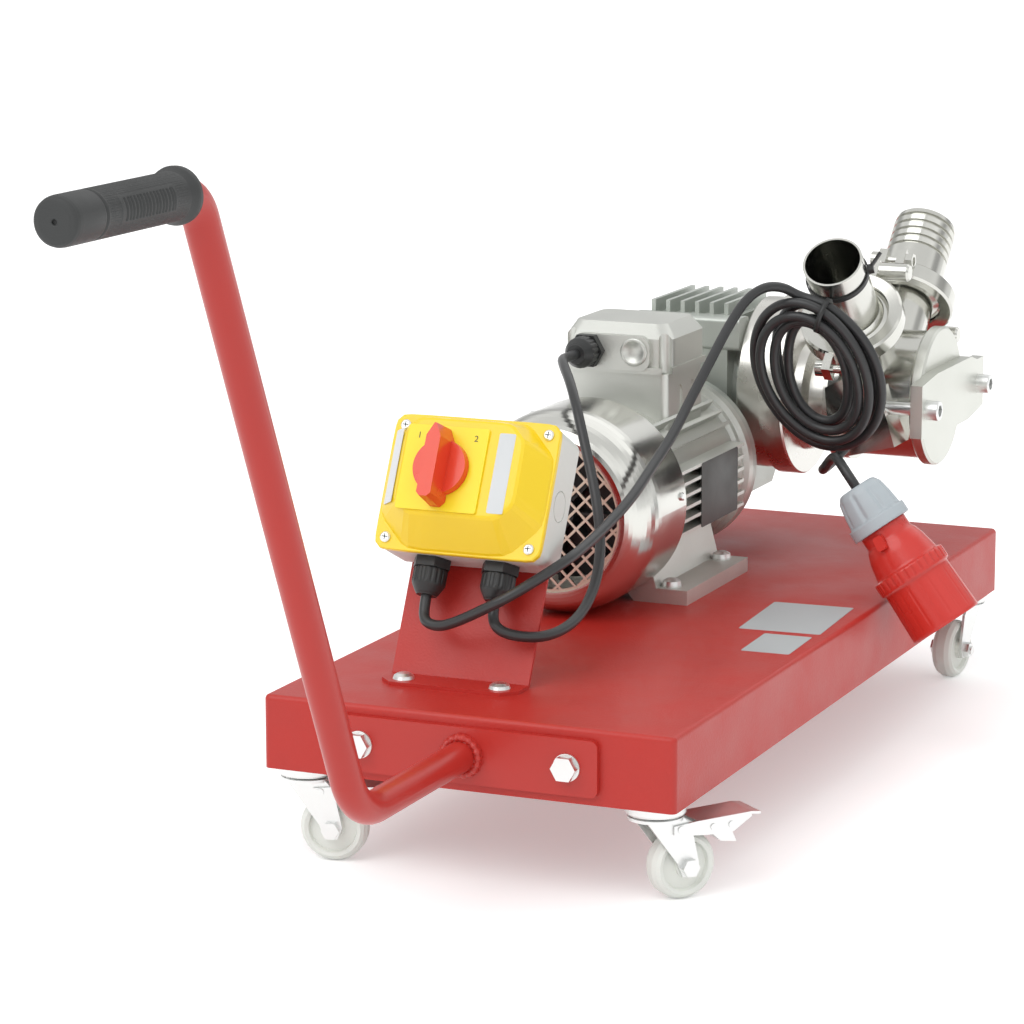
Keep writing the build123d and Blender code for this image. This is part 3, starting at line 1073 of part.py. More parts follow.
reach = PORT_REACH - stub_end
keep("inlet_spigot", turned(port_seat(-1, stub_end + 0.0),
                            [(PORT_BORE, 0), (FERRULE_R, 0), (FERRULE_R, 2), (PORT_PIPE_R + 3, 6),
                             (PORT_PIPE_R, 12),
                             (PORT_PIPE_R, reach), (PORT_BORE, reach)]))
barb_outline = [(PORT_BORE, 0), (FERRULE_R, 0), (FERRULE_R, 2), (PORT_PIPE_R + 4, 6), (BARB_R, 12)]
barb_start = reach - BARBS * BARB_PITCH
for k in range(BARBS):
    h = barb_start + k * BARB_PITCH
    barb_outline += [(BARB_R, h), (BARB_R - 2.4, h + 0.5), (BARB_R - 2.2, h + 2)]
barb_outline += [(BARB_R - 1.5, reach), (PORT_BORE, reach)]
keep("outlet_hose_barb", turned(port_seat(1, stub_end), barb_outline))

clamps = []
for side in (-1, 1):
    seat = port_seat(side, stub_end)
    half_ring = [(FERRULE_R + 0.2, 2.3), (FERRULE_R - 4, 4.4), (FERRULE_R - 4, 8), (CLAMP_R - 2, 9),
                 (CLAMP_R, 7)]
    ring = turned(seat, half_ring + [(r, -h) for r, h in reversed(half_ring)])
    for half in (-1, 1):
        with BuildPart() as half_clamp:
            add(ring)
            for end in (-1, 1):
                with BuildSketch(seat.offset(-8)):
                    with Locations((half * 9, end * (CLAMP_R + 5))):
                        Rectangle(8, 22)
                extrude(amount=16)
            keep_x = Plane((PORT_X + half * 1.0, seat.origin.Y, seat.origin.Z), z_dir=(1, 0, 0))
            split(bisect_by=keep_x, keep=Keep.TOP if half > 0 else Keep.BOTTOM)
            for end in (-1, 1):
                with BuildSketch(Plane(seat.from_local_coords((half * 20, end * (CLAMP_R + 9), 0)),
                                       x_dir=seat.z_dir,
                                       z_dir=(1, 0, 0))):
                    Circle(4 + SLIP)
                extrude(amount=-half * 20, mode=Mode.SUBTRACT)
        clamps.append(half_clamp.part)
    for end in (-1, 1):
        bolt_seat = Plane(seat.from_local_coords((-26, end * (CLAMP_R + 9), 0)), x_dir=seat.z_dir,
                          z_dir=(1, 0, 0))
        bore = 4 + SLIP
        clamps.append(turned(bolt_seat, [(0, 6), (7.5, 6), (7.5, 13), (4, 13), (4, 44), (0, 44)]))
        clamps.append(hexagon(bolt_seat.offset(39), 13, 7, bore) if end < 0 else
                      turned(bolt_seat.offset(39), [(bore, 0), (8, 0), (8, 26), (6.5, 28), (0, 28),
                                                    (0, 5), (bore, 5)]))
keep("port_clamps", *clamps)

keep("cover_screws", *small_screws)

# ---------------------------------------------------------------- leads and plug
def cord(route, r, name):
    """Tube along straight runs joined by arcs as large as the runs allow; prints its radii."""
    points = [Vector(*p) for p in route]
    radii = []
    for a, b, c in zip(points, points[1:], points[2:]):
        turn = radians((b - a).get_angle(c - b))
        radii.append(0.45 * min((b - a).length, (c - b).length) / tan(turn / 2))
    with BuildPart() as tube:
        with BuildLine() as path:
            FilletPolyline(*points, radius=radii)
        with BuildSketch(Plane(points[0], z_dir=points[1] - points[0])):
            Circle(r)
        sweep()
    length = sum(e.length for e in path.edges())
    print(f"{name}: length {length:.0f}, smallest radius {min(radii):.0f}, "
          f"volume ratio {tube.part.volume / (pi * r * r * length):.4f}")
    return tube.part


def out_of(seat, distance):
    """Point straight out of a gland at a distance from its seat."""
    return tuple(seat.from_local_coords((0, 0, distance)))


mains_route = [out_of(gland_seats[0], GLAND_L), out_of(gland_seats[0], GLAND_L + 12), (-74, 88, DECK + 49),
               (-60, 85, DECK + 47), (-42, 83, DECK + 54), (-21, 79, DECK + 65), (1, 79, DECK + 77),
               (20, 97, DECK + 90), (36, 126, DECK + 103), (34, 165, DECK + 106), (32, 210, DECK + 112),
               (33, 265, DECK + 126), (29, 320, DECK + 142), (28, 372, DECK + 161), (26, 418, DECK + 184),
               (30, 455, DECK + 212), (36, 485, DECK + 240), (43, 510, DECK + 261), (53, 530, DECK + 270),
               (65, 546, DECK + 268), (76, 556, DECK + 258)]
motor_route = [out_of(gland_seats[1], GLAND_L), out_of(gland_seats[1], GLAND_L + 12), (-13, 92, DECK + 48),
               (0, 95, DECK + 43), (18, 105, DECK + 41), (27, 128, DECK + 42), (30, 158, DECK + 47),
               (29, 188, DECK + 59), (25, 213, DECK + 75), (17, 237, DECK + 94), (6, 258, DECK + 115),
               (-6, 274, DECK + 140), (-20, 290, DECK + 167), (-34, 308, DECK + 191), (-52, 336,
                                                                                       DECK + 208),
               (-72, 370, DECK + 215), (-88, 404, DECK + 215), out_of(tbox_gland_seat, GLAND_L + 16),
               out_of(tbox_gland_seat, GLAND_L)]
keep("mains_lead", cord(mains_route, CORD_R, "mains_lead"))
keep("motor_lead", cord(motor_route, CORD_R, "motor_lead"))

coil_up = (0, -sin(radians(COIL_TILT)), cos(radians(COIL_TILT)))
coil_front = (0, -coil_up[2], coil_up[1])
coil_seat = Plane((COIL_X, COIL_Y, COIL_Z), x_dir=(1, 0, 0), z_dir=coil_front).offset(-COIL_T / 2)
with BuildPart() as coil:
    with BuildSketch(coil_seat):
        Ellipse(COIL_A, COIL_B, rotation=COIL_TURN)
        with Locations((-6, 2)):
            Ellipse(COIL_A - COIL_SECTION, COIL_B - COIL_SECTION, rotation=COIL_TURN, mode=Mode.SUBTRACT)
    extrude(amount=COIL_T)
    fillet(coil.edges(), 8)
keep("lead_coil", coil.part)

PLUG_TOP, PLUG_LEAN, PLUG_L = (146.0, 513.0, DECK + 100.0), 36.4, 143.5
plug_down = (sin(radians(PLUG_LEAN)), 0, -cos(radians(PLUG_LEAN)))
plug_seat = Plane(PLUG_TOP, x_dir=(0, 1, 0), z_dir=plug_down)
cap_h = 42.0
keep("plug_cap", turned(plug_seat, [(0, 0), (16, 0), (21, 5), (25, 30), (27.5, 31), (27.5, cap_h),
                                    (0, cap_h)]))
plug_shell = turned(plug_seat.offset(cap_h), [(0, 0), (22, 0), (22, 12), (27, 22), (30.5, 40), (34.5, 41),
                                              (34.5, 52),
                                              (32.5, 54), (31.5, 54), (33, PLUG_L - cap_h), (30.5,
                                                                                             PLUG_L - cap_h),
                                              (29, 60), (0, 60)])
with BuildPart() as plug_body:
    add(plug_shell)
    with BuildSketch(plug_seat.offset(cap_h + 60)):
        with PolarLocations(18, 5):
            Circle(3)
    extrude(amount=30)
keep("plug_body", plug_body.part)

tail_route = [(97, 592, DECK + 124), (103, 572, DECK + 119), (112, 550, DECK + 124), (122, 530, DECK + 127),
              tuple(plug_seat.from_local_coords((0, 0, -16))), PLUG_TOP]
keep("lead_tail", cord(tail_route, CORD_R, "lead_tail"))

tie_w, tie_t = 4.5, 1.3
pipe_loop = pipe(port_seat(-1, 172), PORT_PIPE_R + GAP + tie_t, PORT_PIPE_R + GAP, tie_w)
keep("cable_tie", pipe_loop)

# ---------------------------------------------------------------- move to the part's frame and write
boxes = [node.bounding_box() for name, node in pieces.items() if name not in cord_names]
middle_x = (min(b.min.X for b in boxes) + max(b.max.X for b in boxes)) / 2
middle_y = (min(b.min.Y for b in boxes) + max(b.max.Y for b in boxes)) / 2
to_frame = Location((-middle_x, -middle_y, 0))
print("shift to frame", to_frame.position)
os.makedirs("parts", exist_ok=True)
for name, node in pieces.items():
    placed = node.moved(to_frame)
    placed.label = name
    export_step(placed, f"parts/{name}.step")
print(len(pieces), "nodes")
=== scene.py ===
"""Looks of a wheeled rotary lobe pump: finishes, leads, labels, studio and camera.

Sizes in the classes are millimetres from the drawing, which has Y = 0 on the trolley's
front skirt and Z = 0 on the floor; drawn() turns them into metres in the part's frame.
"""

import logging
from collections.abc import Callable
from dataclasses import dataclass, field
from enum import Enum

import bpy
import numpy as np
from mathutils import Matrix, Vector


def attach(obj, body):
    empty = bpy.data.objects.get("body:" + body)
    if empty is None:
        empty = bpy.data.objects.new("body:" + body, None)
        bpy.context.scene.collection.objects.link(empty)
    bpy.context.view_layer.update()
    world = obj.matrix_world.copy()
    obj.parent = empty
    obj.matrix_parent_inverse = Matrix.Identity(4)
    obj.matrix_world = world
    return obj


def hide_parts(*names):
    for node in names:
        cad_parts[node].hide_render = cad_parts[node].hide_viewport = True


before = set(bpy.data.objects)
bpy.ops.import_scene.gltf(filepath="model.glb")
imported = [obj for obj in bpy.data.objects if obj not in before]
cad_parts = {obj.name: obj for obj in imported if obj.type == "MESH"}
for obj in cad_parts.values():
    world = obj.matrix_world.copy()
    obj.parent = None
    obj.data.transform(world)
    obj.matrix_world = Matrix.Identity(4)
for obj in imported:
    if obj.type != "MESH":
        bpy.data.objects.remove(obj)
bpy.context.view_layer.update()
LOG = logging.getLogger("lobe_pump")

SHIFT = np.array([-20.2403, -136.519, 0.0])
DECK = 138.0
LEAN = np.radians(26.0)
PORTS_MIDDLE = np.array([98.5, 718.0, 288.0])
INLET_WAY = np.array([0, -1, 1]) / np.sqrt(2)
OUTLET_WAY = np.array([0, 1, 1]) / np.sqrt(2)
TROLLEY = "trolley"
FLOAT, VECTOR = "NodeSocketFloat", "NodeSocketVector"
Outline = list[tuple[float, float]]
Carve = Callable[[np.ndarray, np.ndarray], np.ndarray]


def drawn(points: np.ndarray) -> np.ndarray:
    """Turn drawing millimetres into metres in the part's frame.

    Args:
        points: Array whose last axis is x, y, z in millimetres.

    Returns:
        The same array shifted to the part's origin and divided by a thousand.
    """
    return (np.asarray(points, float) + SHIFT) / 1000.0


# ------------------------------------------------------------------ seats and surfaces
@dataclass(frozen=True)
class Seat:
    """A place on the drawing with its own three directions."""

    origin: tuple[float, float, float]
    across: tuple[float, float, float]
    out: tuple[float, float, float]

    def axes(self) -> np.ndarray:
        """Rows are the seat's x, y and z directions, each of length one."""
        z = np.array(self.out, float) / np.linalg.norm(self.out)
        x = np.array(self.across, float) - np.dot(self.across, z) * z
        x /= np.linalg.norm(x)
        return np.array([x, np.cross(z, x), z])

    def place(self, local: np.ndarray) -> np.ndarray:
        """Put local millimetres on the drawing: origin plus local times the axes."""
        return np.asarray(self.origin, float) + np.asarray(local, float) @ self.axes()

    def moved(self, x: float, y: float, z: float) -> "Seat":
        """The same seat shifted along its own axes."""
        return Seat(tuple(self.place(np.array([x, y, z]))), self.across, self.out)


LEAN_UP = (0.0, float(np.sin(LEAN)), float(np.cos(LEAN)))
LEAN_OUT = (0.0, -float(np.cos(LEAN)), float(np.sin(LEAN)))
SWITCH = Seat((-49.0, 120.16, 292.39), (1, 0, 0), LEAN_OUT)
PLUG_DOWN = (0.5934, 0.0, -0.8049)
PLUG = Seat((146.0, 513.0, 238.0), (0, 1, 0), PLUG_DOWN)


def link(name: str, mesh: bpy.types.Mesh, material: bpy.types.Material, body: str,
         smooth: bool = True) -> bpy.types.Object:
    """Make an object of a mesh, dress it and let it ride on a body.

    Args:
        name: Name of the piece.
        mesh: Its finished mesh, in metres in the part's frame.
        material: Its finish.
        body: Body that carries it.
        smooth: Whether its faces are shaded smooth.

    Returns:
        The new object.
    """
    mesh.materials.append(material)
    mesh.polygons.foreach_set("use_smooth", np.full(len(mesh.polygons), smooth))
    piece = bpy.data.objects.new(name, mesh)
    bpy.context.scene.collection.objects.link(piece)
    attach(piece, body)
    LOG.info("%s: %d faces, on %s", name, len(mesh.polygons), body)
    return piece


def grid_faces(rows: int, cols: int, wrap: bool) -> np.ndarray:
    """Quads of a grid: corner (i, j), its right, its diagonal and its upper neighbour."""
    i, j = np.meshgrid(np.arange(rows - 1), np.arange(cols if wrap else cols - 1), indexing="ij")
    k = (j + 1) % cols
    low, high = i * cols, (i + 1) * cols
    return np.stack([low + j, low + k, high + k, high + j], -1).reshape(-1, 4)


def surface(name: str, points: np.ndarray, wrap: bool, capped: bool = False) -> bpy.types.Mesh:
    """Mesh of a grid of points in drawing millimetres.

    Args:
        name: Name of the mesh.
        points: Array of rows by columns by three.
        wrap: Whether each row closes on itself.
        capped: Whether the first and last rows are closed by one face each.

    Returns:
        The mesh, with its faces outwards where rows run up and columns turn left.
    """
    rows, cols = points.shape[:2]
    faces = [tuple(q) for q in grid_faces(rows, cols, wrap).tolist()]
    if capped:
        faces += [tuple(range(cols - 1, -1, -1)), tuple(range((rows - 1) * cols, rows * cols))]
    mesh = bpy.data.meshes.new(name)
    mesh.from_pydata(drawn(points.reshape(-1, 3)).tolist(), [], faces)
    return mesh


def turned(name: str, seat: Seat, outline: Outline, around: int = 96, carve: Carve | None = None,
           hollow: bool = False) -> bpy.types.Mesh:
    """Surface of revolution about the seat's out direction.

    A point is seat + (r cos a) x + (r sin a) y + h z, where r may be carved by an
    amount that depends on the angle a and the height h.

    Args:
        name: Name of the mesh.
        seat: Where the axis starts.
        outline: Radius and height of each ring, from the bottom up on the outside.
        around: Points in each ring.
        carve: Function of angle and height that gives the change of radius.
        hollow: Whether the outline closes on itself, so that the bore stays open.

    Returns:
        The closed mesh.
    """
    ring = np.array(outline + outline[:1] if hollow else outline, float)
    angle = np.linspace(0, 2 * np.pi, around, endpoint=False)
    radius, turn = np.meshgrid(ring[:, 0], angle, indexing="ij")
    height = np.repeat(ring[:, 1:2], around, 1)
    if carve is not None:
        radius = radius + carve(turn, height)
    local = np.stack([radius * np.cos(turn), radius * np.sin(turn), height], -1)
    return surface(name, seat.place(local), True, not hollow)


def slab(name: str, seat: Seat, outline: np.ndarray, thickness: float) -> bpy.types.Mesh:
    """Flat plate: the outline at the seat and again a thickness out, with walls between."""
    flat = np.asarray(outline, float)
    layers = [np.c_[flat, np.full(len(flat), h)] for h in (0.0, thickness)]
    return surface(name, seat.place(np.stack(layers)), True, True)


def rounded(width: float, height: float, corner: float, steps: int = 5) -> np.ndarray:
    """Outline of a rectangle with round corners, turning left."""
    turn = np.linspace(0, np.pi / 2, steps)
    arc = corner * np.stack([np.cos(turn), np.sin(turn)], -1)
    quarter = np.array([[0, 1], [-1, 0]])
    middles = [(1, 1), (-1, 1), (-1, -1), (1, -1)]
    inner = np.array([width / 2 - corner, height / 2 - corner])
    return np.concatenate([arc @ np.linalg.matrix_power(quarter, k) + inner * middle
                           for k, middle in enumerate(middles)])


def strap(name: str, path: np.ndarray, side: np.ndarray, width: float,
          thickness: float) -> bpy.types.Mesh:
    """Flat band along a path: at each point a small rectangle of width along side.

    Args:
        name: Name of the mesh.
        path: Points of the band's middle in drawing millimetres.
        side: Width direction at each point.
        width: Width of the band.
        thickness: Thickness of the band.

    Returns:
        The closed mesh.
    """
    along = np.gradient(path, axis=0)
    along /= np.linalg.norm(along, axis=1, keepdims=True)
    side = side - (side * along).sum(1, keepdims=True) * along
    side /= np.linalg.norm(side, axis=1, keepdims=True)
    face = np.cross(along, side)
    corners = [(1, 1), (-1, 1), (-1, -1), (1, -1)]
    rings = [path + s * side * width / 2 + f * face * thickness / 2 for s, f in corners]
    return surface(name, np.stack(rings, 1), True, True)


# ------------------------------------------------------------------ shader groups
def new_group(name: str, inputs: dict[str, tuple[str, float]],
              outputs: dict[str, str]) -> bpy.types.ShaderNodeTree:
    """Empty shader group with its named sockets.

    Args:
        name: Name of the group.
        inputs: Socket kind and default for each input.
        outputs: Socket kind of each output.

    Returns:
        The group, with one input node named "in" and one output node named "out".
    """
    group = bpy.data.node_groups.new(name, "ShaderNodeTree")
    for label, (kind, value) in inputs.items():
        socket = group.interface.new_socket(label, in_out="INPUT", socket_type=kind)
        if kind == "NodeSocketFloat":
            socket.default_value = value
    for label, kind in outputs.items():
        group.interface.new_socket(label, in_out="OUTPUT", socket_type=kind)
    group.nodes.new("NodeGroupInput").name = "in"
    group.nodes.new("NodeGroupOutput").name = "out"
    return group



def grain_group() -> bpy.types.ShaderNodeTree:
    """Fine grain and slow patches: a height, a shade from 0 to 1 and a roughness."""
    group = new_group("surface_grain",
                      {"Vector": (VECTOR, 0), "Grain": (FLOAT, 500), "Patch": (FLOAT, 12),
                       "Smooth": (FLOAT, 0.3), "Rough": (FLOAT, 0.4)},
                      {"Height": FLOAT, "Shade": FLOAT, "Roughness": FLOAT})
    nodes, wire = group.nodes, group.links.new
    source, result = nodes["in"], nodes["out"]
    fine, patch, span = (nodes.new(kind) for kind in (
        "ShaderNodeTexNoise", "ShaderNodeTexNoise", "ShaderNodeMapRange"))
    fine.inputs["Detail"].default_value = 3.0
    patch.inputs["Detail"].default_value = 4.0
    patch.inputs["Roughness"].default_value = 0.6
    span.inputs["From Min"].default_value, span.inputs["From Max"].default_value = 0.32, 0.68
    for node, scale in ((fine, "Grain"), (patch, "Patch")):
        wire(source.outputs["Vector"], node.inputs["Vector"])
        wire(source.outputs[scale], node.inputs["Scale"])
    wire(patch.outputs["Fac"], span.inputs["Value"])
    wire(source.outputs["Smooth"], span.inputs["To Min"])
    wire(source.outputs["Rough"], span.inputs["To Max"])
    wire(span.outputs["Result"], result.inputs["Roughness"])
    wire(patch.outputs["Fac"], result.inputs["Shade"])
    wire(fine.outputs["Fac"], result.inputs["Height"])
    return group


def brush_group() -> bpy.types.ShaderNodeTree:
    """Long fine lines: noise on coordinates squeezed along one axis by a mapping."""
    group = new_group("brush_lines", {"Vector": (VECTOR, 0), "Lines": (FLOAT, 900)}, {"Height": FLOAT})
    nodes, wire = group.nodes, group.links.new
    lines = nodes.new("ShaderNodeTexNoise")
    lines.inputs["Detail"].default_value = 2.0
    wire(nodes["in"].outputs["Vector"], lines.inputs["Vector"])
    wire(nodes["in"].outputs["Lines"], lines.inputs["Scale"])
    wire(lines.outputs["Fac"], nodes["out"].inputs["Height"])
    return group


GRAIN, BRUSH = grain_group(), brush_group()


class Brushing(Enum):
    """Axis along which a metal's fine lines run."""

    NONE = (1.0, 1.0, 1.0)
    ALONG_X = (0.02, 1.0, 1.0)
    ALONG_Z = (1.0, 1.0, 0.02)


@dataclass(frozen=True)
class Finish:
    """One finish: its colour in light and shade, gloss, grain and brushing."""

    name: str
    light: tuple[float, float, float]
    dark: tuple[float, float, float]
    metallic: float = 0.0
    smooth: float = 0.3
    rough: float = 0.45
    grain: float = 500.0
    depth: float = 0.00005
    patch: float = 14.0
    coat: float = 0.0
    brushing: Brushing = Brushing.NONE

    def make(self) -> bpy.types.Material:
        """Build the material: patches tint the colour and gloss, grain bumps the surface."""
        material = bpy.data.materials.new(self.name)
        material.use_nodes = True
        tree = material.node_tree
        nodes, wire = tree.nodes, tree.links.new
        shader = nodes["Principled BSDF"]
        place, grain, tint, bump = (nodes.new(kind) for kind in (
            "ShaderNodeTexCoord", "ShaderNodeGroup", "ShaderNodeMixRGB", "ShaderNodeBump"))
        grain.node_tree = GRAIN
        for label, value in (("Grain", self.grain), ("Patch", self.patch), ("Smooth", self.smooth),
                             ("Rough", self.rough)):
            grain.inputs[label].default_value = value
        wire(place.outputs["Object"], grain.inputs["Vector"])
        tint.inputs["Color1"].default_value = (*self.dark, 1.0)
        tint.inputs["Color2"].default_value = (*self.light, 1.0)
        wire(grain.outputs["Shade"], tint.inputs["Fac"])
        wire(tint.outputs["Color"], shader.inputs["Base Color"])
        wire(grain.outputs["Roughness"], shader.inputs["Roughness"])
        bump.inputs["Distance"].default_value = self.depth
        bump.inputs["Strength"].default_value = 0.8
        height = grain.outputs["Height"]
        if self.brushing is not Brushing.NONE:
            squeeze, lines = nodes.new("ShaderNodeMapping"), nodes.new("ShaderNodeGroup")
            lines.node_tree = BRUSH
            squeeze.inputs["Scale"].default_value = self.brushing.value
            wire(place.outputs["Object"], squeeze.inputs["Vector"])
            wire(squeeze.outputs["Vector"], lines.inputs["Vector"])
            height = lines.outputs["Height"]
        wire(height, bump.inputs["Height"])
        wire(bump.outputs["Normal"], shader.inputs["Normal"])
        shader.inputs["Metallic"].default_value = self.metallic
        shader.inputs["Coat Weight"].default_value = self.coat
        shader.inputs["Coat Roughness"].default_value = 0.12
        return material


def shade(colour: tuple[float, float, float], factor: float) -> tuple[float, float, float]:
    """The colour with each channel multiplied by a factor."""
    return tuple(min(1.0, c * factor) for c in colour)


def finish(name: str, colour: tuple[float, float, float], spread: float = 0.08, **rest) -> Finish:
    """A finish whose light and dark tints lie a spread above and below one colour."""
    return Finish(name, shade(colour, 1 + spread), shade(colour, 1 - spread), **rest)


class Finishes:
    """All finishes of the pump, each made once."""

    def __init__(self) -> None:
        """Build every finish by name."""
        specs = [
            finish("red_powder_coat", (0.50, 0.026, 0.018), 0.10, smooth=0.36, rough=0.48, grain=520,
                   depth=0.0003, coat=0.04),
            finish("red_smooth_coat", (0.50, 0.028, 0.020), 0.06, smooth=0.28, rough=0.38, grain=300,
                   depth=0.00006, coat=0.08),
            finish("zinc_plate", (0.82, 0.83, 0.82), 0.10, metallic=1.0, smooth=0.26, rough=0.42,
                   grain=900, depth=0.00002),
            finish("polished_steel", (0.66, 0.66, 0.62), 0.05, metallic=1.0, smooth=0.12, rough=0.22,
                   grain=900, depth=0.000006),
            finish("turned_steel", (0.72, 0.71, 0.67), 0.05, metallic=1.0, smooth=0.24, rough=0.33,
                   grain=900, depth=0.00002, brushing=Brushing.ALONG_X),
            finish("satin_steel", (0.66, 0.67, 0.62), 0.04, metallic=1.0, smooth=0.30, rough=0.40,
                   grain=1500, depth=0.00001, brushing=Brushing.ALONG_Z),
            finish("bright_spun_steel", (0.70, 0.70, 0.66), 0.06, metallic=1.0, smooth=0.16, rough=0.26,
                   grain=900, depth=0.000008, brushing=Brushing.ALONG_X),
            finish("mesh_metal", (0.72, 0.66, 0.54), 0.08, metallic=1.0, smooth=0.35, rough=0.45),
            finish("silver_casting", (0.64, 0.65, 0.61), 0.10, metallic=0.75, smooth=0.34, rough=0.46,
                   grain=800, depth=0.00016),
            finish("bare_casting", (0.68, 0.68, 0.64), 0.14, metallic=0.75, smooth=0.38, rough=0.55,
                   grain=500, depth=0.0002),
            finish("grey_gearbox_paint", (0.52, 0.55, 0.51), 0.08, metallic=0.55, smooth=0.35,
                   rough=0.48, grain=650, depth=0.00012),
            finish("yellow_moulding", (0.93, 0.66, 0.012), 0.03, smooth=0.26, rough=0.36, grain=1200,
                   depth=0.00003, coat=0.2),
            finish("yellow_dial", (0.96, 0.78, 0.02), 0.02, smooth=0.30, rough=0.36, grain=1500,
                   depth=0.00002),
            finish("light_grey_moulding", (0.70, 0.73, 0.69), 0.04, smooth=0.34, rough=0.44, grain=1000,
                   depth=0.00004),
            finish("red_knob", (0.78, 0.055, 0.018), 0.05, smooth=0.2, rough=0.3, grain=900,
                   depth=0.00002, coat=0.3),
            finish("red_plug_moulding", (0.62, 0.032, 0.022), 0.06, smooth=0.26, rough=0.36, grain=900,
                   depth=0.00004, coat=0.2),
            finish("grey_plug_moulding", (0.45, 0.50, 0.53), 0.05, smooth=0.34, rough=0.44, grain=900,
                   depth=0.00004),
            finish("black_moulding", (0.022, 0.023, 0.023), 0.15, smooth=0.34, rough=0.46, grain=900,
                   depth=0.00006),
            finish("grip_rubber", (0.040, 0.042, 0.042), 0.15, smooth=0.45, rough=0.62, grain=1300,
                   depth=0.00014),
            finish("cord_sheath", (0.030, 0.031, 0.032), 0.18, smooth=0.34, rough=0.46, grain=700,
                   depth=0.00006, coat=0.1),
            finish("cream_nylon", (0.82, 0.84, 0.79), 0.05, smooth=0.34, rough=0.46, grain=500,
                   depth=0.00008),
            finish("bronze", (0.62, 0.40, 0.16), 0.08, metallic=1.0, smooth=0.28, rough=0.4),
            finish("varnished_windings", (0.30, 0.12, 0.05), 0.2, smooth=0.25, rough=0.4, grain=300,
                   depth=0.0003, coat=0.3),
            finish("machined_steel", (0.60, 0.60, 0.58), 0.06, metallic=1.0, smooth=0.22, rough=0.32,
                   grain=900, depth=0.00003, brushing=Brushing.ALONG_X),
            finish("bare_plate_dark", (0.055, 0.058, 0.054), 0.2, metallic=0.6, smooth=0.35, rough=0.5,
                   grain=900, depth=0.00003),
            finish("bare_label_silver", (0.56, 0.59, 0.60), 0.05, metallic=0.3, smooth=0.35, rough=0.48,
                   grain=900, depth=0.00002),
            finish("bare_label_white", (0.74, 0.75, 0.76), 0.03, smooth=0.4, rough=0.5, grain=900,
                   depth=0.00002),
            # Black for the printed dial numbers, and for the painted shade in the cover's screw crosses.
            finish("print_and_painted_shade_black", (0.03, 0.03, 0.03), 0.1, smooth=0.4, rough=0.5),
        ]
        self.made = {spec.name: spec.make() for spec in specs}

    def __getitem__(self, name: str) -> bpy.types.Material:
        """The finish of that name."""
        return self.made[name]


NODE_FINISHES = {
    "red_powder_coat": ("base_tray", "switch_bracket"),
    "red_smooth_coat": ("handle_frame",),
    "zinc_plate": ("castor_heads", "fork_front_right", "fork_front_left", "fork_back_right",
                   "fork_back_left", "brake_pedal_front_right", "brake_pedal_front_left",
                   "trolley_bolts", "cover_screws", "bridge_screws"),
    "cream_nylon": ("wheel_front_right", "wheel_front_left", "wheel_back_right", "wheel_back_left"),
    "grip_rubber": ("handle_grip",),
    "light_grey_moulding": ("switch_box",),
    "yellow_moulding": ("switch_cover",),
    "yellow_dial": ("switch_faceplate",),
    "red_knob": ("switch_knob",),
    "black_moulding": ("cam_switch", "cable_glands", "cooling_fan", "shaft_seals", "cable_tie"),
    "silver_casting": ("motor_frame", "motor_end_shields", "terminal_box"),
    "bare_casting": ("motor_feet",),
    "varnished_windings": ("stator",),
    "machined_steel": ("motor_rotor", "worm", "drive_timing_gear", "driven_timing_gear", "drive_shaft",
                       "driven_shaft", "ball_bearings", "drive_rotor", "driven_rotor"),
    "bright_spun_steel": ("fan_cowl",),
    "mesh_metal": ("cowl_grille",),
    "grey_gearbox_paint": ("gearbox_housing", "gearbox_side_cover"),
    "bronze": ("worm_wheel",),
    "turned_steel": ("gear_case_rear", "gear_case_front"),
    "polished_steel": ("pump_body", "inlet_spigot", "outlet_hose_barb", "port_clamps"),
    "satin_steel": ("pump_cover", "bridge_plate"),
    "cord_sheath": ("mains_lead", "motor_lead", "lead_coil", "lead_tail"),
    "grey_plug_moulding": ("plug_cap",),
    "red_plug_moulding": ("plug_body",),
}


def dress_nodes(finishes: Finishes) -> None:
    """Give each solid of the drawing its finish.

    Args:
        finishes: The finishes by name.
    """
    for name, nodes in NODE_FINISHES.items():
        for node in nodes:
            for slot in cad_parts[node].material_slots:
                slot.material = finishes[name]
            LOG.info("%s dressed in %s", node, name)
    bare = set(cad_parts) - {n for nodes in NODE_FINISHES.values() for n in nodes}
    if bare:
        raise ValueError(f"nodes with no finish: {sorted(bare)}")


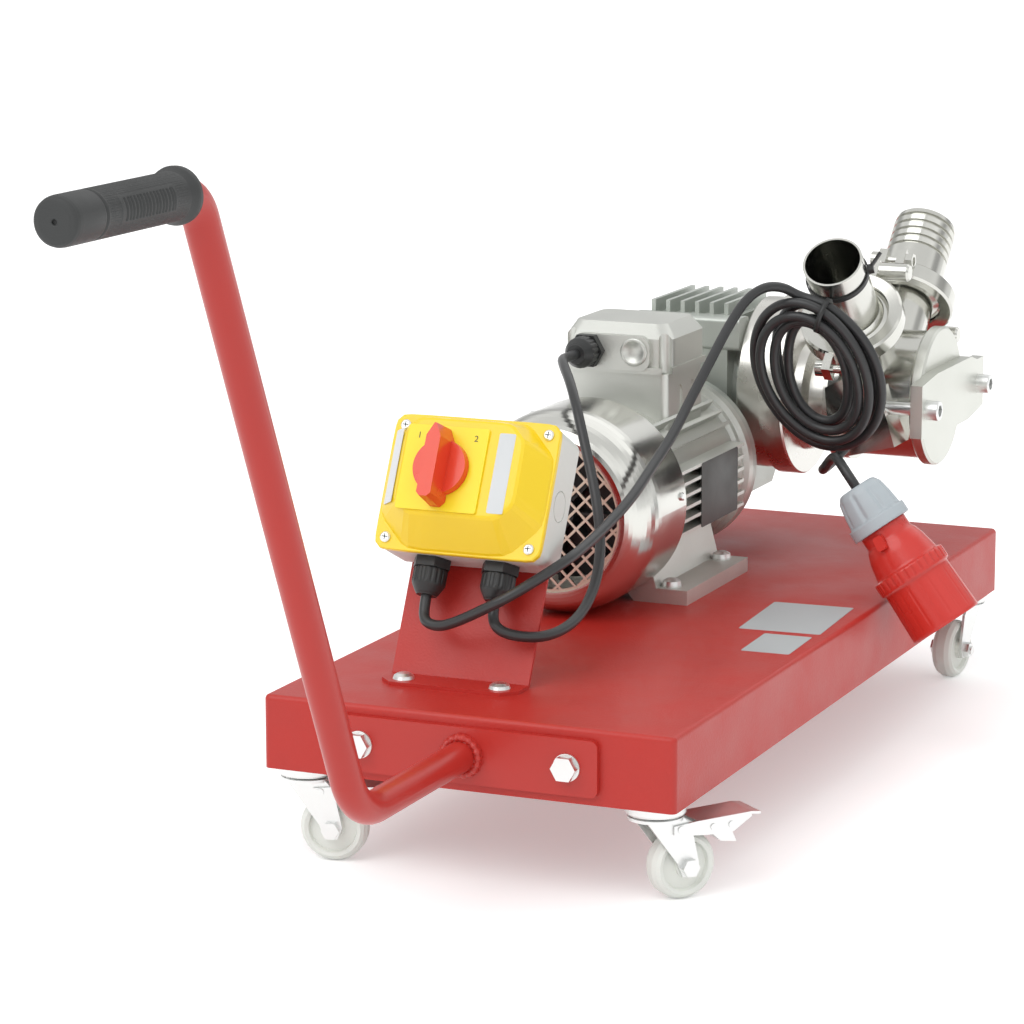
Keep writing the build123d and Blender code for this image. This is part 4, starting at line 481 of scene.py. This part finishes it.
# ------------------------------------------------------------------ leads
@dataclass
class Leads:
    """Mains lead with its coil and plug, and the lead from the switch to the motor.

    Each slow wave of the coil is its size, its period in turns and its start in radians.
    """

    finishes: Finishes
    diameter: float = 8.8
    gland_left: tuple[float, float, float] = (-79.0, 101.78, 205.67)
    gland_right: tuple[float, float, float] = (-19.0, 101.78, 205.67)
    coil_middle: tuple[float, float, float] = (88.0, 570.0, 328.0)
    coil_tilt: float = 15.0
    coil_turn: float = 18.0
    coil_half_width: float = 44.0
    coil_half_height: float = 62.0
    coil_turns: float = 5.36
    bundle_radius: float = 9.936
    points_per_turn: int = 14
    start_angle: float = 80.0
    tie_angle: float = 52.0
    bundle_start: float = -25.0
    bundle_step: float = 60.0
    fan_aside: float = 0.783
    fan_forward: float = 0.192
    wide_wave: tuple[float, float, float] = (3.422, 3.213, 2.78)
    high_wave: tuple[float, float, float] = (1.841, 2.877, 1.893)
    turn_wave: tuple[float, float, float] = (8.449, 3.749, 3.628)
    mains_run: list[tuple[float, float, float]] = field(default_factory=lambda: [
        (-79, 101.78, 205.67), (-79, 96.52, 194.88), (-74, 88, 187), (-60, 85, 185), (-42, 83, 192),
        (-21, 79, 203), (1, 79, 215), (20, 97, 228), (36, 126, 241), (34, 165, 244), (32, 210, 250),
        (33, 265, 264), (29, 320, 280), (28, 372, 299), (26, 418, 322), (30, 455, 350), (36, 485, 378),
        (43, 510, 399), (53, 530, 408), (65, 546, 406)])
    tail_run: list[tuple[float, float, float]] = field(default_factory=lambda: [
        (28, -67, -30), (9, -90, -12), (4, -90, 16), (15, -76, 36), (22, -66, 39), (33, -55, 55)])
    motor_run: list[tuple[float, float, float]] = field(default_factory=lambda: [
        (-19, 101.78, 205.67), (-19, 96.52, 194.88), (-13, 92, 186), (0, 95, 181), (18, 105, 179),
        (27, 128, 180), (30, 158, 185), (29, 188, 197), (25, 213, 213), (17, 237, 232), (6, 258, 253),
        (-6, 274, 278), (-20, 290, 305), (-34, 308, 329), (-52, 336, 346), (-72, 370, 353),
        (-88, 404, 353), (-94, 433, 350), (-94, 449, 350)])

    def coil_seat(self) -> Seat:
        """Seat in the middle of the coil: x across, y up the coil, z towards the front."""
        tilt = np.radians(self.coil_tilt)
        return Seat(self.coil_middle, (1, 0, 0), (0, -float(np.cos(tilt)), -float(np.sin(tilt))))

    def coil_points(self) -> np.ndarray:
        """Points of the loose turns.

        Each turn runs clockwise round an ellipse. Its place in the bundle is a point on a
        small circle that moves on by sixty degrees a turn, so no two turns meet, and the
        circle widens away from the tie, so the turns fan out there. Slow waves along the
        lead turn and stretch each ellipse a little, as in a coil made by hand.
        """
        steps = np.arange(int(self.coil_turns * self.points_per_turn) + 1) / self.points_per_turn
        angle = np.radians(self.start_angle) - 2 * np.pi * steps
        bundle = np.radians(self.bundle_start + self.bundle_step * steps)
        loose = np.sin(angle - np.radians(self.tie_angle)) ** 2
        eased = np.clip(steps / 0.5, 0, 1) * np.clip((self.coil_turns - steps) / 0.4, 0, 1)

        def wave(size: float, period: float, start: float) -> np.ndarray:
            """Slow wave along the lead, gone at both of its ends."""
            return eased * size * np.sin(2 * np.pi * steps / period + start)

        aside = self.bundle_radius * (1 + self.fan_aside * loose) * np.cos(bundle)
        forward = self.bundle_radius * (1 + self.fan_forward * loose) * np.sin(bundle)
        wide = (self.coil_half_width + aside + wave(*self.wide_wave)) * np.cos(angle)
        high = (self.coil_half_height + aside + wave(*self.high_wave)) * np.sin(angle)
        turn = np.radians(self.coil_turn + wave(*self.turn_wave))
        local = np.stack([wide * np.cos(turn) - high * np.sin(turn),
                          wide * np.sin(turn) + high * np.cos(turn), forward], -1)
        return self.coil_seat().place(local)

    def spline(self, name: str, points: np.ndarray) -> bpy.types.Object:
        """Round cord along one open NURBS spline with the given control points."""
        curve = bpy.data.curves.new(name, "CURVE")
        curve.dimensions = "3D"
        curve.bevel_depth = self.diameter / 2000.0
        curve.bevel_resolution = 4
        curve.use_fill_caps = True
        line = curve.splines.new("NURBS")
        line.points.add(len(points) - 1)
        line.points.foreach_set("co", np.c_[drawn(points), np.ones(len(points))].ravel())
        line.order_u = 3
        line.use_endpoint_u = True
        line.resolution_u = 8
        curve.materials.append(self.finishes["cord_sheath"])
        piece = bpy.data.objects.new(name, curve)
        bpy.context.scene.collection.objects.link(piece)
        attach(piece, TROLLEY)
        return piece

    def build(self, plug_pieces: list[bpy.types.Object]) -> None:
        """Args:
            plug_pieces: The plug's pieces, which hang on the mains lead. Not used.
        """
        top = np.array(PLUG.origin)
        into_plug = np.array([top - 16 * np.array(PLUG_DOWN), top])
        tail = self.coil_seat().place(np.array(self.tail_run))
        route = np.concatenate([np.array(self.mains_run, float), self.coil_points(), tail, into_plug])
        mains = self.spline("mains_cord", route)
        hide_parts("mains_lead", "lead_coil", "lead_tail")
        motor = self.spline("motor_cord", np.array(self.motor_run, float))
        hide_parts("motor_lead")
        LOG.info("leads laid: %d and %d control points", len(route), len(self.motor_run))


@dataclass
class Plug:
    """Industrial plug: fluted grey cap, red body with ribs and a slotted collar."""

    finishes: Finishes
    cap_height: float = 42.0
    length: float = 143.5
    pins: int = 5
    pin_circle: float = 18.0

    def build(self) -> list[bpy.types.Object]:
        """Build both shells and return them."""
        start, end = self.cap_height, self.length
        cap_outline = [(5, 0), (15, 0), (17.5, 1), (21, 6), (23.4, 18), (24.8, 30), (25.2, 31),
                       (27.3, 31.4), (27.5, 33), (27.5, start - 1), (27, start), (5, start)]
        cap_mesh = turned("plug_cap_shell", PLUG, densify(cap_outline, 2.0), 192, cap_flutes)
        cap = link("plug_cap_shell", cap_mesh, self.finishes["grey_plug_moulding"], TROLLEY)
        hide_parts("plug_cap")
        body_outline = [(5, start), (21.6, start), (22, start + 1), (22, start + 11), (24, start + 14),
                        (27, start + 22), (30.4, start + 39), (34, start + 40.5), (34.5, start + 42),
                        (34.5, start + 51), (34, start + 52.5), (31.8, start + 53.5), (31.6, start + 55),
                        (33, end - 1.2), (32.4, end), (31, end), (29, end - 1.5), (28.6, start + 61),
                        (4, start + 61)]
        body_mesh = turned("plug_shell", PLUG, densify(body_outline, 2.5), 180, collar_slots)
        body = link("plug_shell", body_mesh, self.finishes["red_plug_moulding"], TROLLEY)
        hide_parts("plug_body")
        pins = []
        pin_outline = [(0.4, 0), (3, 0), (3, 27), (2, 29), (0.4, 29)]
        for k in range(self.pins):
            turn = 2 * np.pi * k / self.pins
            out = self.pin_circle
            seat = PLUG.moved(out * np.cos(turn), out * np.sin(turn), start + 60.5)
            pins.append(link(f"plug_pin_{k + 1}", turned("pin", seat, pin_outline, 20),
                             self.finishes["machined_steel"], TROLLEY))
        clips = []
        for side in (-1, 1):
            seat = Seat(tuple(PLUG.place(np.array([side * 24.5, 0, start + 12]))), tuple(PLUG.axes()[1]),
                        tuple(side * PLUG.axes()[0] - 0.28 * PLUG.axes()[2]))
            clips.append(link(f"plug_clip_{'ab'[side > 0]}", slab("clip", seat, rounded(9, 13, 2), 4.2),
                              self.finishes["red_plug_moulding"], TROLLEY, False))
        return [cap, body] + pins + clips


def densify(outline: Outline, step: float) -> Outline:
    """Add evenly spaced points on each run of an outline, no further apart than a step."""
    out = []
    for a, b in zip(outline, outline[1:]):
        count = max(1, int(np.ceil(np.hypot(b[0] - a[0], b[1] - a[1]) / step)))
        out += [tuple(np.array(a) + (np.array(b) - np.array(a)) * k / count) for k in range(count)]
    return out + [outline[-1]]


def cap_flutes(turn: np.ndarray, height: np.ndarray) -> np.ndarray:
    """Eight shallow flutes: the radius dips by the cube of a cosine between heights 3 and 30.5."""
    band = np.clip((height - 3) / 5, 0, 1) * np.clip((30.5 - height) / 1.0, 0, 1)
    return -1.6 * band * np.clip(np.cos(8 * turn), 0, 1) ** 3


def gland_flutes(turn: np.ndarray, height: np.ndarray) -> np.ndarray:
    """Eighteen square flutes between heights 9.1 and 19.9."""
    return -0.7 * (np.cos(18 * turn) > 0.4) * (np.abs(height - 14.5) < 5.4)


def collar_slots(turn: np.ndarray, height: np.ndarray) -> np.ndarray:
    """Ring of short grooves on the collar and fine ribs on the body below it."""
    collar = np.clip((height - 83.0) / 0.5, 0, 1) * np.clip((92.5 - height) / 0.5, 0, 1)
    skirt = np.clip((height - 100) / 1.0, 0, 1) * np.clip((138 - height) / 1.0, 0, 1)
    return -1.3 * collar * (np.cos(30 * turn) > 0.55) - 0.5 * skirt * (np.cos(20 * turn) > 0.8)


# ------------------------------------------------------------------ handle grip and weld
@dataclass
class Handle:
    """Moulded grip on the pull handle, and the weld that holds the tube to its plate."""

    finishes: Finishes
    height: float = 590.0
    end_y: float = -603.0
    radius: float = 16.5
    length: float = 158.0
    collar: float = 19.5
    pad_angle: float = -8.0
    pad_middle: float = 92.0

    def grip_relief(self, turn: np.ndarray, height: np.ndarray) -> np.ndarray:
        """Diamond knurling all round, and a ribbed pad on the right side.

        The knurl is the product of two sets of crossing waves. In the pad the ribs are
        waves along the grip only.
        """
        around = turn * self.radius
        knurl = 0.14 * np.sign(np.sin((around + height) * 1.9) * np.sin((around - height) * 1.9)) - 0.14
        zone = np.clip((height - 40) / 2, 0, 1) * np.clip((self.length - 14 - height) / 2, 0, 1)
        from_pad = np.mod(turn - np.radians(self.pad_angle) + np.pi, 2 * np.pi) - np.pi
        aside = np.abs(from_pad) * self.radius
        along = np.abs(height - self.pad_middle)
        inside = ((aside < 7.5) & (along < 33)).astype(float)
        rim = ((aside < 9.5) & (along < 35.5)).astype(float) - inside
        ribs = 0.75 * (np.sin((height - 59) * 2 * np.pi / 4.2) > 0.1) - 0.75
        return zone * (knurl * (1 - inside - rim) + inside * ribs)

    def build(self) -> None:
        """Build the grip sleeve and the weld."""
        seat = Seat((0, self.end_y, self.height), (1, 0, 0), (0, 1, 0))
        radius, length, collar = self.radius, self.length, self.collar
        outline = [(1.6, 2.5), (1.8, 0.6), (2.6, 0), (11, 0), (14, 0.8), (15.6, 2.4), (16.3, 5),
                   (radius, 8), (radius, 36), (15.4, 37.2), (15.4, 38.4), (radius, 39.6),
                   (radius, length - 12), (17.4, length - 10), (collar - 0.4, length - 7),
                   (collar, length - 5), (collar - 0.3, length - 1.5), (collar - 1.4, length),
                   (12.55, length)]
        mesh = turned("grip_sleeve", seat, densify(outline, 0.75), 220, self.grip_relief)
        grip = link("grip_sleeve", mesh, self.finishes["grip_rubber"], TROLLEY)
        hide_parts("handle_grip")
        self.weld()

    def weld(self) -> None:
        """Lumpy ring of weld where the tube meets its plate."""
        angle = np.linspace(0, 2 * np.pi, 160, endpoint=False)
        around = np.linspace(0, 2 * np.pi, 16, endpoint=False)
        lumps = 1 + 0.16 * np.cos(18 * angle) + 0.08 * np.sin(5 * angle)
        radius = 14.6 + 2.9 * lumps[:, None] * np.cos(around)
        height = 2.6 + 3.4 * lumps[:, None] * np.sin(around)
        seat = Seat((0, -5, 107.5), (1, 0, 0), (0, -1, 0))
        ring = np.stack([radius * np.cos(angle)[:, None], radius * np.sin(angle)[:, None], height], -1)
        ring = np.concatenate([ring, ring[:1]])
        link("weld_bead", surface("weld_bead", seat.place(ring[::-1]), True),
             self.finishes["red_smooth_coat"], TROLLEY)


# ------------------------------------------------------------------ switch box trim
@dataclass
class SwitchTrim:
    """Bevelled yellow cover, dial marks, bare labels, and black crosses painted as the shade in the
    screw recesses.
    """

    finishes: Finishes
    half_width: float = 72.5
    half_height: float = 57.0
    rim: float = 5.0
    out: float = 28.0

    def ring(self, x0: float, x1: float, y0: float, y1: float, cut: tuple[float, float, float, float],
             height: float, steps: int = 6) -> np.ndarray:
        """Eight-cornered outline of a box with its corners cut, with rounded turns.

        Args:
            x0: Left edge.
            x1: Right edge.
            y0: Lower edge.
            y1: Upper edge.
            cut: Cut of the lower left, lower right, upper right and upper left corner.
            height: Distance out from the rim plane.
            steps: Points put on each side between its two corners.

        Returns:
            Points, turning left, in the switch's own directions.
        """
        a, b, c, d = cut
        corners = np.array([(x0 + a, y0), (x1 - b, y0), (x1, y0 + b), (x1, y1 - c), (x1 - c, y1),
                            (x0 + d, y1), (x0, y1 - d), (x0, y0 + a)], float)
        share = np.linspace(0, 1, steps, endpoint=False)[None, :, None]
        runs = corners[:, None] * (1 - share) + np.roll(corners, -1, 0)[:, None] * share
        flat = runs.reshape(-1, 2)
        soft = (np.roll(flat, 1, 0) + 2 * flat + np.roll(flat, -1, 0)) / 4
        return np.c_[soft, np.full(len(soft), height)]

    def cover(self) -> None:
        """Cover: square rim with rounded corners, then a bevelled block narrower at the top."""
        w, h = self.half_width, self.half_height
        round_cut = (7, 7, 7, 7)
        block = (27, 27, 27, 24)
        low = [self.ring(-w + 4, w - 4, -h + 4, h - 4, round_cut, 0.2),
               self.ring(-w, w, -h, h, round_cut, 0.2),
               self.ring(-w, w, -h, h, round_cut, self.rim - 0.8),
               self.ring(-w + 0.8, w - 0.8, -h + 0.8, h - 0.8, round_cut, self.rim)]
        high = [self.ring(-w + 1.5, w - 1.5, -h + 1.5, h - 1.5, block, self.rim),
                self.ring(-w + 2.2, w - 2.6, -h + 3.0, h - 2.2, block, self.rim + 2.0),
                self.ring(-51, 53.0, -32.0, 49.0, (12, 14, 14, 10), self.out - 1.4),
                self.ring(-49, 50.5, -30.0, 47.0, (11, 13, 13, 9), self.out - 0.3),
                self.ring(-47.5, 48.5, -28.5, 45.5, (10, 12, 12, 8), self.out)]
        mesh = surface("switch_cover_shell", SWITCH.place(np.stack(low + high)), True, True)
        piece = link("switch_cover_shell", mesh, self.finishes["yellow_moulding"], TROLLEY, False)
        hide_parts("switch_cover")

    def marks(self) -> None:
        """Dial numbers 1, 0 and 2 on the plate above the knob."""
        for text, x, y in (("1", -37.5, 33.0), ("0", -13.0, 37.0), ("2", 12.0, 33.0)):
            curve = bpy.data.curves.new("dial", "FONT")
            curve.body, curve.size, curve.extrude = text, 0.0072, 0.0001
            curve.align_x, curve.align_y = "CENTER", "CENTER"
            stand_in = bpy.data.objects.new("dial", curve)
            bpy.context.scene.collection.objects.link(stand_in)
            mesh = bpy.data.meshes.new_from_object(stand_in)
            bpy.data.objects.remove(stand_in)
            spot = drawn(SWITCH.place(np.array([x, y, self.out + 2.05])))
            mesh.transform(Matrix([*np.c_[SWITCH.axes().T, spot].tolist(), [0, 0, 0, 1]]))
            mesh.materials.clear()
            link(f"dial_mark_{text}", mesh, self.finishes["print_and_painted_shade_black"], TROLLEY, False)

    def build(self) -> None:
        """Build the cover and all its trim."""
        self.cover()
        self.marks()
        right = SWITCH.moved(37.5, 7.0, self.out - 0.15)
        link("cover_label_right", slab("label", right, rounded(14, 66, 1.5), 0.35),
             self.finishes["bare_label_silver"], TROLLEY, False)
        slope = np.arctan2(22.0, 20.0)
        left_out = tuple(-np.sin(slope) * SWITCH.axes()[0] + np.cos(slope) * SWITCH.axes()[2])
        left = Seat(tuple(SWITCH.place(np.array([-60.6, 9.0, 17.2]))), tuple(SWITCH.axes()[1]), left_out)
        link("cover_label_left", slab("label", left, rounded(62, 17, 1.2), 0.5),
             self.finishes["bare_label_white"], TROLLEY, False)
        # Painted shade: thin black crosses where the cross recesses of the cover screws hold only shade.
        for k, (a, b) in enumerate(((-1, -1), (1, -1), (1, 1), (-1, 1))):
            for arm, size in enumerate(((5.4, 0.9), (0.9, 5.4))):
                seat = SWITCH.moved(a * 62.5, b * 47.0, self.rim + 2.62)
                mesh = slab("cross", seat, rounded(*size, 0.2, 2), 0.06)
                link(f"painted_shade_cross_{k + 1}{'ab'[arm]}", mesh, self.finishes["print_and_painted_shade_black"], TROLLEY,
                     False)


# ------------------------------------------------------------------ plates, stickers and tie
@dataclass
class Trim:
    """Bare plates and stickers, gland nuts, the hose tail, and the tie round coil and pipe."""

    finishes: Finishes
    tail_reach: float = 110.5
    tail_length: float = 84.5
    bore: float = 25.0
    ferrule: float = 39.0
    rib: float = 30.0
    groove: float = 27.3
    rib_start: float = 42.0
    rib_pitch: float = 8.5
    ribs: int = 5
    tie_reach: float = 174.3
    tie_ring: float = 15.6
    tie_leave: float = 16.4
    pipe_touch: float = 28.2
    head_reach: float = 29.0
    tie_width: float = 4.2
    tie_thickness: float = 1.3

    def plates(self) -> None:
        """Bare rating plate on the motor, knock-out on the terminal box, stickers on the deck."""
        side = Seat((11.3, 531, DECK + 87), (0, 1, 0), (1, 0, 0))
        link("motor_plate", slab("plate", side, rounded(92, 58, 3), 1.1),
             self.finishes["bare_plate_dark"], TROLLEY, False)
        knock = Seat((-50.4, 479.4, DECK + 212.5), (1, 0, 0), (0, -1, 0))
        disc = [(0.5, -0.5), (12.5, -0.5), (12.5, 1.6), (11.6, 2.4), (9.4, 2.4), (8.8, 1.2), (0.5, 1.2)]
        link("terminal_knockout", turned("knock", knock, disc, 72), self.finishes["silver_casting"],
             TROLLEY)
        for name, x, y, width, length, turn in (("deck_sticker_large", 125.3, 419.5, 72, 108, 3.0),
                                                ("deck_sticker_small", 141.5, 322.0, 42, 66, 2.0)):
            angle = np.radians(turn)
            seat = Seat((x, y, DECK + 0.02), (float(np.cos(angle)), float(np.sin(angle)), 0), (0, 0, 1))
            link(name, slab("sticker", seat, rounded(width, length, 2), 0.3),
                 self.finishes["bare_label_silver"], TROLLEY, False)

    def gland_nuts(self) -> None:
        """Fluted sleeve round each gland's dome nut."""
        lean_down = tuple(-c for c in LEAN_UP)
        seats = [Seat((-49 + s * 30.0, 114.93, 232.63), (1, 0, 0), lean_down) for s in (-1, 1)]
        seats.append(Seat((-94, 479, 350), (1, 0, 0), (0, -1, 0)))
        outline = densify([(12.0, 8.1), (13.6, 8.4), (13.9, 10), (13.9, 19.5), (13.2, 22), (9.4, 28.6),
                           (8.2, 29.6), (4.6, 29.6)], 1.5)
        for k, seat in enumerate(seats):
            link(f"gland_nut_{k + 1}", turned("ribs", seat, outline, 144, gland_flutes),
                 self.finishes["black_moulding"], TROLLEY)

    def band(self, name: str, path: np.ndarray, side: np.ndarray, width: float,
             thickness: float) -> None:
        """Black band of the tie along a path, its width along one direction."""
        link(name, strap("tie", path, np.tile(side, (len(path), 1)), width, thickness),
             self.finishes["black_moulding"], TROLLEY)

    def tie(self, leads: Leads) -> None:
        """Black tie: a loop round the upper right turns, a run up to the pipe and a cut tail."""
        seat = leads.coil_seat()
        angle, turn = np.radians(leads.tie_angle), np.radians(leads.coil_turn)
        wide, high = leads.coil_half_width * np.cos(angle), leads.coil_half_height * np.sin(angle)
        middle = np.array([wide * np.cos(turn) - high * np.sin(turn),
                           wide * np.sin(turn) + high * np.cos(turn), 0])
        outward = np.array([np.cos(angle + turn), np.sin(angle + turn), 0])
        forward = np.array([0, 0, 1])
        sweep = np.linspace(0, 2 * np.pi, 49)[:, None]
        loop = middle + self.tie_ring * (np.cos(sweep) * outward + np.sin(sweep) * forward)
        self.band("tie_loop", seat.place(loop), np.cross(outward, forward) @ seat.axes(), 4.4, 1.4)
        start = seat.place(middle + self.tie_leave * outward + np.array([0, 0, 2.0]))
        pipe = PORTS_MIDDLE + self.tie_reach * INLET_WAY
        touch = pipe + self.pipe_touch * np.array([0, -1, -1]) / np.sqrt(2)
        share = np.linspace(0, 1, 13)[:, None]
        run = start * (1 - share) + touch * share + 3.0 * np.sin(np.pi * share) * np.array([1.0, 0, 0])
        self.band("tie_run", run, INLET_WAY, self.tie_width, self.tie_thickness)
        aside = (0.94, 0.24, 0.24)
        foot = pipe + self.head_reach * np.array(aside)
        tail = foot + np.linspace(0, 1, 9)[:, None] * np.array([9.0, 4.0, 15.0])
        self.band("tie_tail", tail, INLET_WAY, self.tie_width, self.tie_thickness)
        head = Seat(tuple(foot), tuple(INLET_WAY), aside).moved(0, 0, -0.6)
        link("tie_head", slab("head", head, rounded(6.4, 7.4, 1), 4.6), self.finishes["black_moulding"],
             TROLLEY, False)

    def hose_tail(self) -> None:
        """Outlet's hose tail with deep grooves between its ribs, its bore left open."""
        seat = Seat(tuple(PORTS_MIDDLE + self.tail_reach * OUTLET_WAY), (1, 0, 0), (0, 1, 1))
        outline = [(self.bore, 0), (self.ferrule, 0), (self.ferrule, 2), (31, 6), (self.rib, 12)]
        for k in range(self.ribs):
            height = self.rib_start + self.rib_pitch * k
            outline += [(self.rib, height), (self.groove, height + 0.4), (self.groove, height + 3.4),
                        (29.2, height + 4.0)]
        outline += [(28.5, self.tail_length), (self.bore, self.tail_length)]
        mesh = turned("hose_tail", seat, outline, 144, hollow=True)
        piece = link("hose_tail_shell", mesh, self.finishes["polished_steel"], TROLLEY, False)
        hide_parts("outlet_hose_barb")

    def build(self, leads: Leads) -> None:
        """Build all the trim."""
        self.hose_tail()
        self.plates()
        self.gland_nuts()
        self.tie(leads)


# ------------------------------------------------------------------ studio
@dataclass
class Studio:
    """Pale floor, soft lamps, a plain sky and the camera."""

    lens: float = 132.34
    eye: tuple[float, float, float] = (1162.0477, -2576.7354, 867.9683)
    right: tuple[float, float, float] = (0.9170247, 0.3988274, -0.0015347)
    down: tuple[float, float, float] = (0.0773174, -0.1815485, -0.9803378)
    ahead: tuple[float, float, float] = (-0.3912642, 0.8988753, -0.1973207)
    floor_reach: float = 40.0
    floor_glow: float = 0.34

    def floor(self) -> None:
        """Wide floor that keeps the shadow and glows a little for rays that show it as backdrop."""
        mesh = bpy.data.meshes.new("floor")
        corners = [(x * self.floor_reach, y * self.floor_reach, 0)
                   for x, y in ((-1, -1), (1, -1), (1, 1), (-1, 1))]
        mesh.from_pydata(corners, [], [(0, 1, 2, 3)])
        material = bpy.data.materials.new("pale_floor")
        material.use_nodes = True
        shader = material.node_tree.nodes["Principled BSDF"]
        shader.inputs["Base Color"].default_value = (0.90, 0.90, 0.90, 1)
        shader.inputs["Roughness"].default_value = 0.8
        shader.inputs["Specular IOR Level"].default_value = 0.0
        shader.inputs["Emission Color"].default_value = (1, 1, 1, 1)
        nodes, wire = material.node_tree.nodes, material.node_tree.links.new
        path, seen, through, level = (nodes.new(kind) for kind in (
            "ShaderNodeLightPath", "ShaderNodeMath", "ShaderNodeMath", "ShaderNodeMath"))
        seen.operation = through.operation = "ADD"
        through.use_clamp = True
        level.operation = "MULTIPLY"
        level.inputs[1].default_value = self.floor_glow
        wire(path.outputs["Is Camera Ray"], seen.inputs[0])
        wire(path.outputs["Is Glossy Ray"], seen.inputs[1])
        wire(seen.outputs["Value"], through.inputs[0])
        wire(path.outputs["Is Transmission Ray"], through.inputs[1])
        wire(through.outputs["Value"], level.inputs[0])
        wire(level.outputs["Value"], shader.inputs["Emission Strength"])
        mesh.materials.append(material)
        floor = bpy.data.objects.new("floor", mesh)
        bpy.context.scene.collection.objects.link(floor)

    def sky(self) -> None:
        """One pale sky for all rays, with a greyer band for metal to mirror."""
        world = bpy.data.worlds.new("studio")
        bpy.context.scene.world = world
        world.use_nodes = True
        nodes, wire = world.node_tree.nodes, world.node_tree.links.new
        back = nodes["Background"]
        place, split, ramp, span = (nodes.new(kind) for kind in (
            "ShaderNodeTexCoord", "ShaderNodeSeparateXYZ", "ShaderNodeValToRGB", "ShaderNodeMapRange"))
        stops = ((0.0, 0.80), (0.50, 0.95), (0.56, 0.88), (0.62, 0.44), (0.70, 0.50), (0.76, 0.95),
                 (0.88, 0.80), (1.0, 0.85))
        span.inputs["From Min"].default_value, span.inputs["From Max"].default_value = -1.0, 1.0
        wire(place.outputs["Generated"], split.inputs["Vector"])
        wire(split.outputs["Z"], span.inputs["Value"])
        wire(span.outputs["Result"], ramp.inputs["Fac"])
        elements = ramp.color_ramp.elements
        for k, (at, level) in enumerate(stops):
            element = elements[k] if k < 2 else elements.new(at)
            element.position, element.color = at, (level, level, level, 1)
        wire(ramp.outputs["Color"], back.inputs["Color"])
        back.inputs["Strength"].default_value = 1.0

    def lamp(self, name: str, strength: float, spread: float, away: tuple[float, float, float]) -> None:
        """Distant soft lamp that shines from a direction."""
        light = bpy.data.lights.new(name, "SUN")
        light.energy, light.angle = strength, np.radians(spread)
        lamp = bpy.data.objects.new(name, light)
        lamp.rotation_euler = Vector(away).to_track_quat("Z", "Y").to_euler()
        bpy.context.scene.collection.objects.link(lamp)

    def camera(self) -> None:
        """Camera at the viewing angle, with no shift and no depth of field."""
        data = bpy.data.cameras.new("camera")
        data.lens, data.sensor_width = self.lens, 36.0
        data.clip_end = 200.0
        turn = np.array([self.right, -np.array(self.down), -np.array(self.ahead)]).T
        camera = bpy.data.objects.new("camera", data)
        camera.matrix_world = Matrix([*np.c_[turn, drawn(self.eye)].tolist(), [0, 0, 0, 1]])
        bpy.context.scene.collection.objects.link(camera)
        bpy.context.scene.camera = camera

    def build(self) -> None:
        """Set up the whole studio."""
        self.floor()
        self.sky()
        self.lamp("key", 1.0, 50.0, (-0.35, -0.85, 1.0))
        self.lamp("fill", 0.22, 70.0, (0.9, -0.6, 0.55))
        self.lamp("rim", 0.25, 50.0, (0.2, 0.9, 0.9))
        self.camera()
        bpy.context.scene.view_settings.view_transform = "Standard"


def main() -> None:
    """Build the studio, dress the solids and add the pieces."""
    logging.basicConfig(level=logging.INFO, format="%(message)s")
    finishes = Finishes()
    Studio().build()
    dress_nodes(finishes)
    plug = Plug(finishes).build()
    leads = Leads(finishes)
    leads.build(plug)
    Handle(finishes).build()
    SwitchTrim(finishes).build()
    Trim(finishes).build(leads)
    bpy.context.view_layer.update()


if __name__ == "__main__":
    main()
